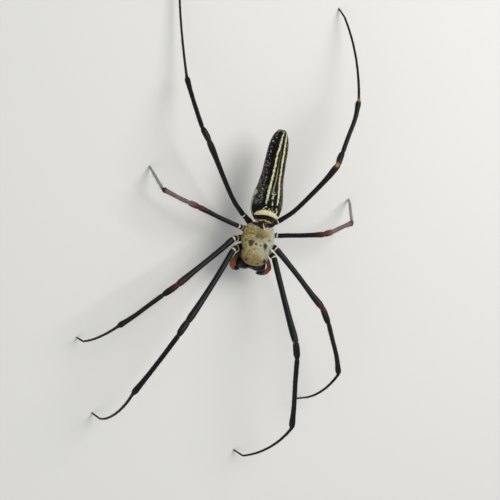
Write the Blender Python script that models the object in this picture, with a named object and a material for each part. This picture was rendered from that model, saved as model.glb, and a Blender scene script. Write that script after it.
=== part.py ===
"""Golden silk orb weaver, an adult female giant wood spider, standing at life size.

Millimetres are used throughout, and each finished mesh is scaled to metres. X runs to the
spider's left, Y from head to tail and Z up, from the floor that the eight feet stand on.
Y = 0 is the waist. Neighbouring parts are divided by thin cuts, so that nothing overlaps.
"""
import math
from typing import NamedTuple

import bmesh
import bpy
from mathutils import Matrix, Vector

for old in list(bpy.data.objects):
    bpy.data.objects.remove(old)

MM = 0.001                      # metres in one millimetre
STANCE_SHIFT = (6.4, 2.7)       # sideways and fore-and-aft, from the waist to the middle of the stance
CUT = 0.2                       # width of the cut between two neighbouring parts

LEG_SIDES = 10                  # flat sides round a leg
BODY_SIDES = 28                 # flat sides round the shell and the abdomen
SMOOTH_ANGLE = math.radians(40)


# ---------------------------------------------------------------- shared making

def finish(name, bm, colour, roughness):
    """Close the mesh, scale it to metres and stand it in the stance's place."""
    bmesh.ops.recalc_face_normals(bm, faces=bm.faces)
    bmesh.ops.scale(bm, vec=(MM, MM, MM), verts=bm.verts)
    mesh = bpy.data.meshes.new(name)
    bm.to_mesh(mesh)
    bm.free()
    mesh.shade_smooth()
    mesh.set_sharp_from_angle(angle=SMOOTH_ANGLE)
    part = bpy.data.objects.new(name, mesh)
    bpy.context.collection.objects.link(part)
    part.parent = stance
    material = bpy.data.materials.new(name)
    material.use_nodes = True
    shader = material.node_tree.nodes["Principled BSDF"]
    shader.inputs["Base Color"].default_value = (*colour, 1.0)
    shader.inputs["Roughness"].default_value = roughness
    shader.inputs["Metallic"].default_value = 0.0
    mesh.materials.append(material)
    return part


def loop_edges(verts):
    """The edges that join a ring's vertices to each other."""
    ring = set(verts)
    return [edge for edge in {e for v in verts for e in v.link_edges} if set(edge.verts) <= ring]


def loft(bm, rings):
    """Skin a row of vertex rings and close both ends."""
    loops = [loop_edges(ring) for ring in rings]
    for near, far in zip(loops, loops[1:]):
        bmesh.ops.bridge_loops(bm, edges=near + far)
    for end in (loops[0], loops[-1]):
        bmesh.ops.contextual_create(bm, geom=end)


def tube(bm, stations, sides=LEG_SIDES, flatten=1.0):
    """Skin a row of (centre, radius) stations; flatten is the height over the width."""
    centres = [Vector(centre) for centre, _ in stations]
    turn = None
    rings = []
    for i, (centre, (_, radius)) in enumerate(zip(centres, stations)):
        ahead = centres[min(i + 1, len(centres) - 1)] - centres[max(i - 1, 0)]
        ahead.normalize()
        if turn is None:
            turn = ahead.to_track_quat("Z", "Y")
        else:
            turn = (turn @ Vector((0, 0, 1))).rotation_difference(ahead) @ turn
        place = Matrix.Translation(centre) @ turn.to_matrix().to_4x4() @ Matrix.Diagonal((1, flatten, 1, 1))
        rings.append(bmesh.ops.create_circle(bm, segments=sides, radius=radius, matrix=place)["verts"])
    loft(bm, rings)


def trim(bm, point, normal):
    """Cut the mesh with a plane, drop what lies behind it and close the cut."""
    geometry = bm.verts[:] + bm.edges[:] + bm.faces[:]
    cut = bmesh.ops.bisect_plane(bm, geom=geometry, dist=1e-5, plane_co=point, plane_no=normal,
                                 clear_inner=True)
    rim = [edge for edge in cut["geom_cut"] if isinstance(edge, bmesh.types.BMEdge)]
    bmesh.ops.contextual_create(bm, geom=rim)


# ---------------------------------------------------------------- body sections

class Section(NamedTuple):
    """One cross-section of the body: where it lies, how wide and how high it is."""
    y: float
    half_width: float
    top: float
    middle: float               # height at which the section is widest
    bottom: float
    boxiness: float = 1.0       # 1 is an ellipse, more has steeper sides
    dip: float = 0.0            # depth of the furrow along the top


def section_point(section, angle):
    """A point on a section; angle 0 is the spider's left flank and a quarter turn the top."""
    across = math.cos(angle)
    rise = math.sin(angle)
    power = 1 / section.boxiness
    x = section.half_width * math.copysign(abs(across) ** power, across)
    reach = section.top - section.middle if rise > 0 else section.middle - section.bottom
    z = section.middle + reach * math.copysign(abs(rise) ** power, rise)
    if rise > 0:
        z -= section.dip * math.exp(-(x / (0.3 * section.half_width)) ** 2)
    return Vector((x, section.y, z))


def body(sections, sides=BODY_SIDES):
    """A closed body lofted through its sections from head to tail."""
    bm = bmesh.new()
    rings = []
    for section in sections:
        ring = bmesh.ops.create_circle(bm, segments=sides, radius=1.0)["verts"]
        for i, vert in enumerate(ring):
            vert.co = section_point(section, 2 * math.pi * i / sides)
        rings.append(ring)
    loft(bm, rings)
    return bm


def between(sections, y):
    """The section at any y, straight between its two neighbours."""
    for near, far in zip(sections, sections[1:]):
        if near.y <= y <= far.y:
            t = (y - near.y) / (far.y - near.y)
            return Section(*(a + (b - a) * t for a, b in zip(near, far)))
    raise ValueError("y lies outside the body")


# ---------------------------------------------------------------- stance

stance = bpy.data.objects.new("stance", None)
stance.location = (STANCE_SHIFT[0] * MM, STANCE_SHIFT[1] * MM, 0.0)
bpy.context.collection.objects.link(stance)


# ---------------------------------------------------------------- fore body

BUFF = (0.50, 0.40, 0.22)
DARK = (0.022, 0.016, 0.014)
JET = (0.008, 0.007, 0.008)
RUST = (0.45, 0.07, 0.02)

# The shell over the fore body: a steep raised head, then the flatter chest with two rear lobes.
SHELL = (
    Section(-12.5, 1.2, 14.0, 13.5, 13.1),
    Section(-12.3, 1.9, 14.5, 13.5, 12.9, 1.1),
    Section(-12.0, 2.55, 15.0, 13.4, 12.8, 1.25),
    Section(-11.5, 3.2, 15.5, 13.3, 12.6, 1.4),
    Section(-10.8, 3.8, 16.0, 13.2, 12.5, 1.5),
    Section(-9.6, 4.15, 16.4, 13.1, 12.3, 1.5),
    Section(-8.3, 4.05, 16.3, 13.0, 12.3, 1.4),
    Section(-7.2, 4.35, 15.7, 12.9, 12.3, 1.3),
    Section(-6.0, 4.95, 15.1, 12.9, 12.3, 1.2),
    Section(-4.5, 5.1, 14.7, 12.8, 12.3, 1.15, 0.1),
    Section(-3.2, 4.95, 14.5, 12.8, 12.3, 1.15, 0.3),
    Section(-2.0, 4.6, 14.3, 12.8, 12.3, 1.15, 0.2),
    Section(-1.0, 4.2, 13.9, 12.8, 12.3, 1.15, 0.5),
    Section(-0.4, 3.7, 13.5, 12.8, 12.3, 1.1, 0.6),
    Section(0.0, 2.9, 13.1, 12.7, 12.4, 1.0, 0.3),
)
shell = finish("carapace", body(SHELL), BUFF, 0.85)


class Eye(NamedTuple):
    """An eye's place on the shell and its size; around is the angle up from the left flank."""
    y: float
    around: float
    radius: float


EYES = {"eye_front_median": Eye(-12.35, 62, 0.27), "eye_rear_median": Eye(-11.5, 79, 0.25),
        "eyes_side": Eye(-10.7, 44, 0.34)}
SOCKET_GAP = 0.06

sockets = bmesh.new()
for eye_name, eye in EYES.items():
    for side, mirror in (("L", 1), ("R", -1)):
        spot = section_point(between(SHELL, eye.y), math.radians(eye.around))
        spot.x *= mirror
        ball = bmesh.new()
        bmesh.ops.create_uvsphere(ball, u_segments=10, v_segments=6, radius=eye.radius,
                                  matrix=Matrix.Translation(spot))
        finish(f"{eye_name}_{side}", ball, JET, 0.1)
        bmesh.ops.create_uvsphere(sockets, u_segments=10, v_segments=6, radius=eye.radius + SOCKET_GAP,
                                  matrix=Matrix.Translation(spot))
socket_cutter = finish("socket_cutter", sockets, JET, 0.5)
socket_cutter.hide_render = True
socket_cutter.display_type = "WIRE"
socket_cut = shell.modifiers.new("eye_sockets", "BOOLEAN")
socket_cut.operation = "DIFFERENCE"
socket_cut.object = socket_cutter

# The heart-shaped breastplate, with the flesh above it, between the leg bases.
STERNUM = (
    Section(-8.3, 1.2, 11.9, 10.9, 9.9),
    Section(-7.4, 1.8, 12.05, 10.7, 9.5),
    Section(-6.0, 2.4, 12.1, 10.6, 9.2),
    Section(-4.2, 2.6, 12.1, 10.6, 9.1),
    Section(-2.4, 2.4, 12.1, 10.6, 9.2),
    Section(-1.1, 1.7, 12.1, 10.7, 9.5),
    Section(-0.2, 1.1, 12.0, 10.9, 9.9),
    Section(0.4, 0.6, 11.8, 11.2, 10.5),
)
finish("sternum", body(STERNUM, 20), DARK, 0.4)

# Lip and jaw plates, one block below the head.
MOUTHPARTS = (
    Section(-11.0, 1.1, 11.6, 10.7, 9.7, 1.4),
    Section(-10.4, 1.6, 11.9, 10.6, 9.4, 1.4),
    Section(-9.4, 1.9, 12.0, 10.6, 9.4, 1.4),
    Section(-8.55, 1.3, 11.8, 10.7, 9.8, 1.4),
)
finish("mouthparts", body(MOUTHPARTS, 16), DARK, 0.4)

# Jaws hang from the brow and bulge forward; the fangs fold in and back under them.
JAW = (((2.2, -12.35, 12.4), 1.2), ((2.25, -12.45, 12.1), 1.8), ((2.4, -12.65, 11.3), 2.2),
       ((2.4, -12.65, 10.2), 2.2), ((2.2, -12.65, 8.9), 1.8), ((1.8, -12.55, 7.8), 1.2),
       ((1.55, -12.5, 7.3), 0.7))
JAW_FLATTEN = 0.82              # a jaw's depth over its width
FANG = (((1.5, -12.45, 6.9), 0.36), ((1.25, -12.1, 6.55), 0.32), ((0.8, -11.6, 6.35), 0.22),
        ((0.4, -11.1, 6.4), 0.1))

# Palps: out from beside the mouth, round and forward, with the last joint turned inward.
PALP_STEM = (((2.4, -9.5, 10.6), 0.65), ((3.6, -9.8, 10.9), 0.85), ((4.65, -10.6, 11.1), 0.76),
             ((5.4, -11.75, 11.3), 0.66), ((5.8, -12.8, 11.1), 0.68))
PALP_TIP = {"L": (((5.65, -13.65, 10.7), 0.7), ((5.0, -14.45, 10.25), 0.71), ((3.8, -14.95, 9.85), 0.62),
                  ((2.55, -15.1, 9.5), 0.36)),
            "R": (((5.75, -13.65, 10.7), 0.7), ((5.1, -14.4, 10.2), 0.71), ((4.0, -14.75, 9.75), 0.62),
                  ((2.95, -14.75, 9.35), 0.36))}


def mirrored(stations, mirror):
    """Stations for one side, given for the spider's left."""
    return [((x * mirror, y, z), radius) for (x, y, z), radius in stations]


for side, mirror in (("L", 1), ("R", -1)):
    jaw = bmesh.new()
    tube(jaw, mirrored(JAW, mirror), sides=16, flatten=JAW_FLATTEN)
    finish(f"chelicera_{side}", jaw, JET, 0.25)
    fang = bmesh.new()
    tube(fang, mirrored(FANG, mirror), sides=8)
    finish(f"fang_{side}", fang, JET, 0.2)
    palp = bmesh.new()
    tube(palp, mirrored(PALP_STEM + PALP_TIP[side], mirror))
    finish(f"palp_{side}", palp, RUST, 0.6)


# ---------------------------------------------------------------- hind body

waist = bmesh.new()
tube(waist, (((0, 0.08, 12.75), 0.36), ((0, 0.3, 12.77), 0.33), ((0, 0.52, 12.8), 0.36)))
finish("pedicel", waist, DARK, 0.5)

# A long, nearly round sack that narrows and dips a little toward its blunt tail.
ABDOMEN = (
    Section(0.62, 1.2, 14.0, 13.1, 12.4),
    Section(0.8, 2.2, 14.7, 13.3, 12.0),
    Section(1.3, 3.0, 15.5, 13.5, 11.6),
    Section(1.9, 3.4, 16.3, 13.8, 11.3),
    Section(2.4, 3.75, 17.0, 14.0, 10.95),
    Section(3.1, 4.15, 17.9, 14.3, 10.6),
    Section(4.3, 4.5, 18.8, 14.5, 10.2),
    Section(6.5, 4.75, 19.3, 14.6, 9.9),
    Section(9.5, 4.45, 19.3, 14.6, 9.9),
    Section(12.5, 3.8, 18.9, 14.5, 10.1),
    Section(15.5, 3.45, 18.4, 14.4, 10.4),
    Section(18.5, 3.3, 17.9, 14.3, 10.8),
    Section(21.5, 3.2, 17.4, 14.3, 11.2),
    Section(24.5, 3.0, 17.0, 14.2, 11.7),
    Section(26.8, 2.5, 16.6, 14.2, 12.2),
    Section(28.3, 1.7, 16.1, 14.3, 12.9),
    Section(29.2, 1.0, 15.6, 14.4, 13.5),
)
finish("abdomen", body(ABDOMEN), DARK, 0.6)

SPINNERETS = (((0, 21.2, 11.05), 1.0), ((0, 21.4, 10.5), 1.1), ((0, 21.8, 9.9), 0.85), ((0, 22.2, 9.4), 0.45))
mound = bmesh.new()
tube(mound, SPINNERETS, sides=14)
finish("spinnerets", mound, DARK, 0.5)


# ---------------------------------------------------------------- legs

class Build(NamedTuple):
    """The lengths of one leg pair's segments, and how stout it is."""
    root: tuple                 # where the leg leaves the body, on the spider's left
    knuckle: tuple              # where the thigh starts
    femur: float
    patella: float
    tibia: float
    metatarsus: float
    tarsus: float
    stoutness: float


BUILDS = {
    1: Build((2.6, -7.2, 10.6), (6.3, -9.1, 12.0), 27.0, 5.2, 21.8, 25.4, 4.4, 1.0),
    2: Build((3.2, -5.0, 10.6), (6.8, -6.0, 11.6), 22.9, 5.3, 16.2, 20.0, 3.9, 0.94),
    3: Build((3.1, -2.7, 10.6), (6.0, -1.9, 11.4), 14.3, 3.3, 8.6, 9.4, 2.7, 0.88),
    4: Build((2.2, -0.6, 10.6), (5.2, 1.7, 11.2), 27.0, 4.4, 17.5, 27.2, 4.0, 0.9),
}


class Pose(NamedTuple):
    """Degrees forward from straight out to the side, and degrees of rise, for each segment."""
    femur: tuple
    patella: tuple
    tibia: tuple
    metatarsus_start: tuple
    metatarsus_end: tuple
    tarsus_forward: float


POSES = {
    "L1": Pose((68, 25), (73, -2), (82, -3), (101, -35), (136, -58), 193),
    "R1": Pose((62, 22), (65, 22), (62, 0), (80, -32), (62, -76), -12),
    "L2": Pose((42, 13), (49, 3), (68, 2), (103, -27), (126, -66), 140),
    "R2": Pose((44, 16), (43, 5), (46, 5), (60, -41), (48, -68), -6),
    "L3": Pose((-12, 19), (-20, -25), (-26, -30), (-95, -48), (-80, -62), -80),
    "R3": Pose((-16, 5), (-14, -5), (-14, -12), (-55, -60), (-55, -60), -55),
    "L4": Pose((-62, 27), (-66, -30), (-79, -22), (-93, -23), (-118, -28), -125),
    "R4": Pose((-51, 14), (-51, -11), (-67, -35), (-72, -14), (-77, -2), -77),
}

# How far each leg bows to its front side. The joints are numbered root 0, hip 1, knuckle 2, knee 3,
# shin 4, ankle 5 and heel 6, and a number between two of them lies part of the way.
BOW_AT = (0.0, 1.0, 2.0, 2.2, 2.5, 2.8, 3.0, 4.0, 4.3, 4.7, 5.0, 6.0)
BOWS = {
    "L1": (0.0, 0.0, 0.0, 0.08, 0.16, 0.16, 0.06, -0.05, -0.1, -0.4, -0.3, 0.0),
    "R1": (0.0, -0.1, -0.2, 0.05, 0.27, 0.27, 0.15, -0.15, 0.1, 0.3, 0.28, 0.0),
    "L2": (0.0, 0.35, 0.6, 0.42, 0.3, 0.38, 0.25, 0.9, 0.6, 0.18, 0.5, 0.0),
    "R2": (0.0, -0.15, -0.28, 0.0, 0.2, 0.35, 0.5, 0.6, 0.55, 0.5, 0.13, 0.0),
    "L3": (0.0, 0.45, 0.75, 0.6, 0.5, 0.25, 0.05, -0.1, -0.2, -0.2, -0.1, 0.0),
    "R3": (0.0, 0.0, 0.05, 0.2, 0.3, 0.3, 0.3, 0.33, 0.33, 0.22, 0.1, 0.0),
    "L4": (0.0, 0.2, 0.35, 1.3, 1.3, 0.88, 0.24, -0.24, 0.05, 0.57, 0.05, 0.0),
    "R4": (0.0, 0.15, 0.3, 1.02, 0.9, 0.45, 0.2, 0.08, 0.18, 0.24, 0.09, 0.0),
}

# Girth along each segment, as (fraction of its length, radius); that of the thigh is given per leg pair.
COXA_GIRTH = ((0.0, 0.92), (0.35, 1.02), (0.8, 0.98), (1.0, 0.86))
TROCHANTER_GIRTH = ((0.3, 0.94), (0.7, 0.92), (1.0, 0.8))
FEMUR_AT = (0.0, 0.04, 0.12, 0.3, 0.55, 0.75, 0.93, 1.0)
FEMUR_RADII = {
    1: (0.78, 0.88, 0.9, 0.9, 0.93, 1.0, 1.1, 1.0),
    2: (0.8, 0.95, 0.93, 0.86, 0.84, 0.92, 1.08, 1.0),
    3: (0.62, 0.7, 0.7, 0.69, 0.71, 0.76, 0.88, 0.84),
    4: (0.64, 0.72, 0.71, 0.7, 0.75, 0.82, 1.0, 0.92),
}
PATELLA_GIRTH = ((0.0, 0.94), (0.3, 1.06), (0.75, 1.04), (1.0, 0.8))
TIBIA_GIRTH = ((0.0, 0.75), (0.2, 0.77), (0.55, 0.75), (0.8, 0.83), (0.94, 0.98), (1.0, 0.88))
METATARSUS_GIRTH = (0.46, 0.34)
TARSUS_GIRTH = ((0.5, 0.31), (1.0, 0.27))
COXA_SHARE = 0.72               # of the way from root to knuckle
COXA_END_HEIGHT = 11.0
METATARSUS_STEPS = 8
TOE_HEIGHT = 0.12               # the toe's axis ends just over the floor, so its tip is cut flat


def heading(mirror, forward, rise):
    """A unit direction from degrees forward and degrees of rise."""
    forward, rise = math.radians(forward), math.radians(rise)
    level = math.cos(rise)
    return Vector((mirror * math.cos(forward) * level, -math.sin(forward) * level, math.sin(rise)))


def blend(start, end, t):
    """A pair of angles part of the way from one to another."""
    return tuple(a + (b - a) * t for a, b in zip(start, end))


def bow(code, number):
    """How far a leg is bowed to its front side at a joint number."""
    for i, reach in enumerate(BOWS[code][1:]):
        if number <= BOW_AT[i + 1]:
            t = (number - BOW_AT[i]) / (BOW_AT[i + 1] - BOW_AT[i])
            return BOWS[code][i] + (reach - BOWS[code][i]) * t
    return 0.0


def leg_lines(code):
    """The joints of one leg, and the stations of its five parts, named from hip to toe."""
    mirror = 1 if code[0] == "L" else -1
    build = BUILDS[int(code[1])]
    pose = POSES[code]
    stout = build.stoutness
    front = heading(mirror, pose.femur[0] + 90, 0)

    def bowed(point, number):
        return point + front * bow(code, number)

    def segment(start, end, girth, stoutness, number):
        """Stations along a segment that starts at that joint."""
        return [(bowed(start.lerp(end, t), number + t), radius * stoutness) for t, radius in girth]

    root = Vector((build.root[0] * mirror, *build.root[1:]))
    knuckle = Vector((build.knuckle[0] * mirror, *build.knuckle[1:]))
    hip = root.lerp(knuckle, COXA_SHARE)
    hip.z = COXA_END_HEIGHT
    knee = knuckle + heading(mirror, *pose.femur) * build.femur
    shin = knee + heading(mirror, *pose.patella) * build.patella
    ankle = shin + heading(mirror, *pose.tibia) * build.tibia

    sole = [(bowed(ankle, 5), METATARSUS_GIRTH[0] * stout)]
    centre = ankle
    for i in range(METATARSUS_STEPS):
        part_way = (i + 0.5) / METATARSUS_STEPS
        bend = blend(pose.metatarsus_start, pose.metatarsus_end, part_way)
        centre = centre + heading(mirror, *bend) * (build.metatarsus / METATARSUS_STEPS)
        along = (i + 1) / METATARSUS_STEPS
        radius = (METATARSUS_GIRTH[0] + (METATARSUS_GIRTH[1] - METATARSUS_GIRTH[0]) * along) * stout
        sole.append((bowed(centre, 5 + along), radius))
    heel = sole[-1][0]
    fall = math.degrees(math.asin((heel.z - TOE_HEIGHT) / build.tarsus))
    toe = heel + heading(mirror, pose.tarsus_forward, -fall) * build.tarsus
    sole += segment(heel, toe, TARSUS_GIRTH, 1.0, 6)

    hip_stations = segment(root, hip, COXA_GIRTH, stout, 0)
    hip_stations += segment(hip, knuckle, TROCHANTER_GIRTH, stout, 1)
    thigh_girth = list(zip(FEMUR_AT, FEMUR_RADII[int(code[1])]))
    bends = [bowed(joint, i + 2) for i, joint in enumerate((knuckle, knee, shin, ankle))]
    return {
        "coxa": (hip_stations, root, bends[0]),
        "femur": (segment(knuckle, knee, thigh_girth, 1.0, 2), bends[0], bends[1]),
        "patella": (segment(knee, shin, PATELLA_GIRTH, stout, 3), bends[1], bends[2]),
        "tibia": (segment(shin, ankle, TIBIA_GIRTH, stout, 4), bends[2], bends[3]),
        "metatarsus": (sole, bends[3], toe),
    }


def overshoot(stations):
    """The same stations, run on a little past both ends, to leave room for the cuts."""
    (first, first_radius), (second, _) = stations[0], stations[1]
    (last, last_radius), (before, _) = stations[-1], stations[-2]
    head = first + (first - second).normalized() * first_radius
    tail = last + (last - before).normalized() * last_radius
    return [(head, first_radius), *stations[1:-1], (tail, last_radius)]


def first_way(stations):
    return (stations[1][0] - stations[0][0]).normalized()


def last_way(stations):
    return (stations[-1][0] - stations[-2][0]).normalized()


LEG_COLOURS = {"coxa": (0.05, 0.035, 0.02), "femur": (0.025, 0.025, 0.032), "patella": (0.05, 0.025, 0.02),
               "tibia": (0.03, 0.022, 0.022), "metatarsus": (0.02, 0.014, 0.013)}

for code in POSES:
    lines = leg_lines(code)
    names = list(lines)
    for i, segment in enumerate(names):
        stations, start, end = lines[segment]
        bm = bmesh.new()
        tube(bm, overshoot(stations))
        way_in = first_way(stations)
        way_out = last_way(stations)
        if i > 0:
            mitre = (way_in + last_way(lines[names[i - 1]][0])).normalized()
            trim(bm, start + mitre * (CUT / 2), mitre)
        else:
            trim(bm, start, way_in)
        if i < len(names) - 1:
            mitre = (way_out + first_way(lines[names[i + 1]][0])).normalized()
            trim(bm, end - mitre * (CUT / 2), -mitre)
        else:
            trim(bm, Vector((0, 0, 0)), Vector((0, 0, 1)))
        finish(f"{segment}_{code}", bm, LEG_COLOURS[segment], 0.45)
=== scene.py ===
"""Golden silk orb weaver: the looks of the life-size still model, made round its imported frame.

Every form is worked out in millimetres in the spider's own axes, X to its left, Y from head to tail
and Z up from the floor, with Y = 0 at the waist, and is then set into the frame in metres.
"""
import math

import bmesh
import bpy
import numpy as np
from mathutils import Matrix, Vector, noise


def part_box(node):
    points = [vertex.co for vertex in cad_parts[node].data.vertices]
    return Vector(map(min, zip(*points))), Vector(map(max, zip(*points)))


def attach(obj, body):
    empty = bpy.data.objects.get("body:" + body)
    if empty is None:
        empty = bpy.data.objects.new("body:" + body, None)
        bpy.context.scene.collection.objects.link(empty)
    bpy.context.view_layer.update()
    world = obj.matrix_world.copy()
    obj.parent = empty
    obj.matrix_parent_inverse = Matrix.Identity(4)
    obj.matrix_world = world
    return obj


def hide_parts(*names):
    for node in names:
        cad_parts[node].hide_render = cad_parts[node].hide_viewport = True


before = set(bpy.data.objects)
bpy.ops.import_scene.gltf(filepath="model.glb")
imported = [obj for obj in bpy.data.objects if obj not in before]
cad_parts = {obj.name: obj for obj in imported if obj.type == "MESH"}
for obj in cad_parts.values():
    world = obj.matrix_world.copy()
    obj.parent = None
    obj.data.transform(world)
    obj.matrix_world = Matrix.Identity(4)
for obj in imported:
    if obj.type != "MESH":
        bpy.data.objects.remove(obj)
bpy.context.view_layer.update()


# ---------------- shell over the fore body
# A single domed plate of hard cuticle, the carapace, under a velvet of short silver and gold hairs.
# Furrows mark off the raised head. The plate is bare in patches where the head meets the chest, on the
# brow and on the slopes beside the notch in its rear edge; the dark of those rear slopes is partly painted
# shadow, cast by the abdomen that overhangs them.

MM = 0.001
SEAM = 2e-4  # mm; points closer than this are one
shell_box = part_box("carapace")
WAIST = Vector(((shell_box[0].x + shell_box[1].x) / 2, shell_box[1].y, 0.0))

# Rows of (y, half width, top, widest height, bottom, boxiness, dip along the top).
SHELL_ROWS = (
    (-12.52, 0.0, 13.6, 13.5, 13.4, 1.0, 0.0),
    (-12.5, 1.2, 14.0, 13.5, 13.1, 1.0, 0.0),
    (-12.3, 1.9, 14.5, 13.5, 12.9, 1.1, 0.0),
    (-12.0, 2.55, 15.0, 13.4, 12.8, 1.25, 0.0),
    (-11.5, 3.2, 15.5, 13.3, 12.6, 1.4, 0.0),
    (-10.8, 3.8, 16.0, 13.2, 12.5, 1.5, 0.0),
    (-9.6, 4.15, 16.4, 13.1, 12.3, 1.5, 0.0),
    (-8.3, 4.05, 16.3, 13.0, 12.3, 1.4, 0.0),
    (-7.2, 4.35, 15.7, 12.9, 12.3, 1.3, 0.0),
    (-6.0, 4.95, 15.1, 12.9, 12.3, 1.2, 0.0),
    (-4.5, 5.1, 14.7, 12.8, 12.3, 1.15, 0.1),
    (-3.2, 4.95, 14.5, 12.8, 12.3, 1.15, 0.3),
    (-2.0, 4.6, 14.3, 12.8, 12.3, 1.15, 0.2),
    (-1.0, 4.2, 13.9, 12.8, 12.3, 1.15, 0.2),
    (-0.4, 3.7, 13.5, 12.8, 12.3, 1.1, 0.2),
    (-0.05, 2.9, 13.1, 12.7, 12.4, 1.0, 0.0),
    (0.0, 0.0, 12.8, 12.7, 12.6, 1.0, 0.0),
)
SHELL_COAT = 0.08  # the skin lies this far inside the tips of the coat
SHELL_TOP_SHARE = 0.75  # of the points round the shell, the share on its visible top
FURROWS = (  # start, end (|x|, y), width and depth
    ((0.8, -4.4), (3.9, -9.0), 0.38, 0.3),
    ((0.9, -3.7), (4.7, -6.3), 0.32, 0.13),
    ((0.9, -3.1), (5.0, -4.1), 0.32, 0.13),
    ((0.8, -2.5), (4.4, -1.7), 0.32, 0.13),
)
FOVEA = ((0.0, -3.05), (0.95, -3.75), 0.28, 0.34)  # the V-shaped pit behind the head
# The bare patches: x, y, half width, half length and how much they narrow towards the head.
PATCHES = ((2.25, -6.2, 0.66, 1.0, 0.5), (-2.3, -5.8, 0.8, 0.92, 0.6), (0.75, -5.95, 0.3, 0.3, 0.0),
           (-0.72, -5.9, 0.34, 0.3, 0.0), (3.2, -4.1, 0.28, 0.24, 0.0), (-3.3, -4.0, 0.22, 0.22, 0.0),
           (2.75, -10.45, 0.52, 0.62, 0.0), (-2.85, -10.55, 0.36, 0.46, 0.0), (1.75, -10.65, 0.2, 0.26, 0.0),
           (0.95, -11.5, 0.2, 0.24, 0.0), (-0.95, -11.5, 0.2, 0.24, 0.0),
           # The last two lie on the rear slopes by the notch; their dark is partly painted shadow of the
           # overhanging abdomen.
           (2.6, 0.3, 1.9, 0.95, 0.0), (-0.9, 0.2, 1.6, 0.9, 0.0))
PATCH_RISE = 0.14
# More silver, or less: amount, then x and y with the width of each.
SILVER = ((0.16, (1.2, 2.2), (-6.4, 2.3)), (0.16, (4.2, 1.6), (-3.5, 2.2)), (-0.25, (0.6, 2.4), (-2.4, 1.2)))
EYE_AXIS = (1.2, 13.2)  # an eye looks away from the point this far behind it, at this height
EYE_SWELL = (0.12, 0.5)  # height and half width of the swelling under each eye
NOTCH = (0.35, 1.1, 0.85)  # x, depth and half width of the notch in the rear edge
RIPPLE = 0.035  # height of the unevenness under the hairs
BARE_EDGE = 0.15  # how far from a bare patch the velvet is at its fullest
VELVET_FOOT = 12.5  # height it reaches down to
EYE_CLEAR = 0.3  # how far round an eye it leaves clear


def srgb(code):
    """A linear colour from its sRGB hex value."""
    parts = [int(code[i:i + 2], 16) / 255 for i in (1, 3, 5)]
    return (*(((c + 0.055) / 1.055) ** 2.4 if c > 0.04045 else c / 12.92 for c in parts), 1.0)


def wire(node, *inputs, **settings):
    """Set a node's inputs, given in order or by name, to values, hex colours or other nodes' outputs.
    settings also names its properties."""
    for name, value in (*enumerate(inputs), *settings.items()):
        if name in node.bl_rna.properties.keys():
            setattr(node, name, value)
            continue
        socket = node.inputs[name if isinstance(name, int) else name.replace("_", " ")]
        if isinstance(value, bpy.types.NodeSocket):
            node.id_data.links.new(value, socket)
        else:
            socket.default_value = srgb(value) if isinstance(value, str) else value


def add(tree, kind, *inputs, stops=(), **settings):
    """Add a shader node, wire it and return its outputs. stops are a ramp's places and colours."""
    made = tree.nodes.new("ShaderNode" + kind)
    for at, code in stops[1:-1]:
        made.color_ramp.elements.new(at).color = srgb(code)
    for i in (0, -1) if stops else ():
        made.color_ramp.elements[i].position = stops[i][0]
        made.color_ramp.elements[i].color = srgb(stops[i][1])
    wire(made, *inputs, **settings)
    return made.outputs


def material(name, roughness, **sockets):
    """A new material, its node tree and its shader."""
    made = bpy.data.materials.new(name)
    made.use_nodes = True
    shader = made.node_tree.nodes["Principled BSDF"]
    wire(shader, Roughness=roughness, **sockets)
    return made, made.node_tree, shader


def unit(vectors):
    """The same directions, one unit long."""
    return vectors / np.maximum(np.linalg.norm(vectors, axis=-1, keepdims=True), 1e-12)


def bell(*parts):
    """1 where every distance is nothing, fading smoothly to 0; parts are pairs of a distance and a width."""
    return np.exp(-sum((far / width) ** 2 for far, width in parts))


def curve_through(rows, tight=True):
    """A function of the rows' first column that gives the others, on a smooth curve through them. A tight
    curve never swings past its rows."""
    table = np.array(rows, float)
    at, values = table[:, 0], table[:, 1:]
    fall = np.diff(values, axis=0) / np.diff(at)[:, None]
    near, far = fall[:-1], fall[1:]
    if tight:
        same_way = near * far > 0
        middle = np.where(same_way, 2 * near * far / np.where(same_way, near + far, 1), 0)
    else:
        middle = (near + far) / 2
    slopes = np.concatenate([fall[:1], middle, fall[-1:]])

    def value(x):
        x = np.atleast_1d(x)
        i = np.clip(np.searchsorted(at, x) - 1, 0, len(at) - 2)
        step = (at[i + 1] - at[i])[:, None]
        t = np.clip((x - at[i])[:, None] / step, 0, 1)
        near = (2 * t**3 - 3 * t**2 + 1) * values[i] + (t**3 - 2 * t**2 + t) * step * slopes[i]
        far = (3 * t**2 - 2 * t**3) * values[i + 1] + (t**3 - t**2) * step * slopes[i + 1]
        return near + far

    return value


def rounded(rows, y, angle):
    """Points of a body that is lofted through its rows; angle 0 is the left flank, a quarter turn the top."""
    half, top, middle, bottom, boxiness, dip = rows(y).T
    across, rise = np.cos(angle), np.sin(angle)
    half = np.maximum(half, 0)
    x = half * np.sign(across) * np.abs(across) ** (1 / boxiness)
    reach = np.where(rise > 0, top - middle, middle - bottom)
    z = middle + reach * np.sign(rise) * np.abs(rise) ** (1 / boxiness)
    z -= np.where(rise > 0, dip * bell((x, 0.3 * half + 0.01)), 0)
    return np.stack([x, y, z], -1)


def new_form():
    """An empty mesh whose points carry their place in mm and up to three numbers for the markings."""
    bm = bmesh.new()
    bm.loops.layers.uv.new("OFBake")
    bm.verts.layers.float_vector.new("place")
    bm.verts.layers.float_vector.new("mark")
    return bm


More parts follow.
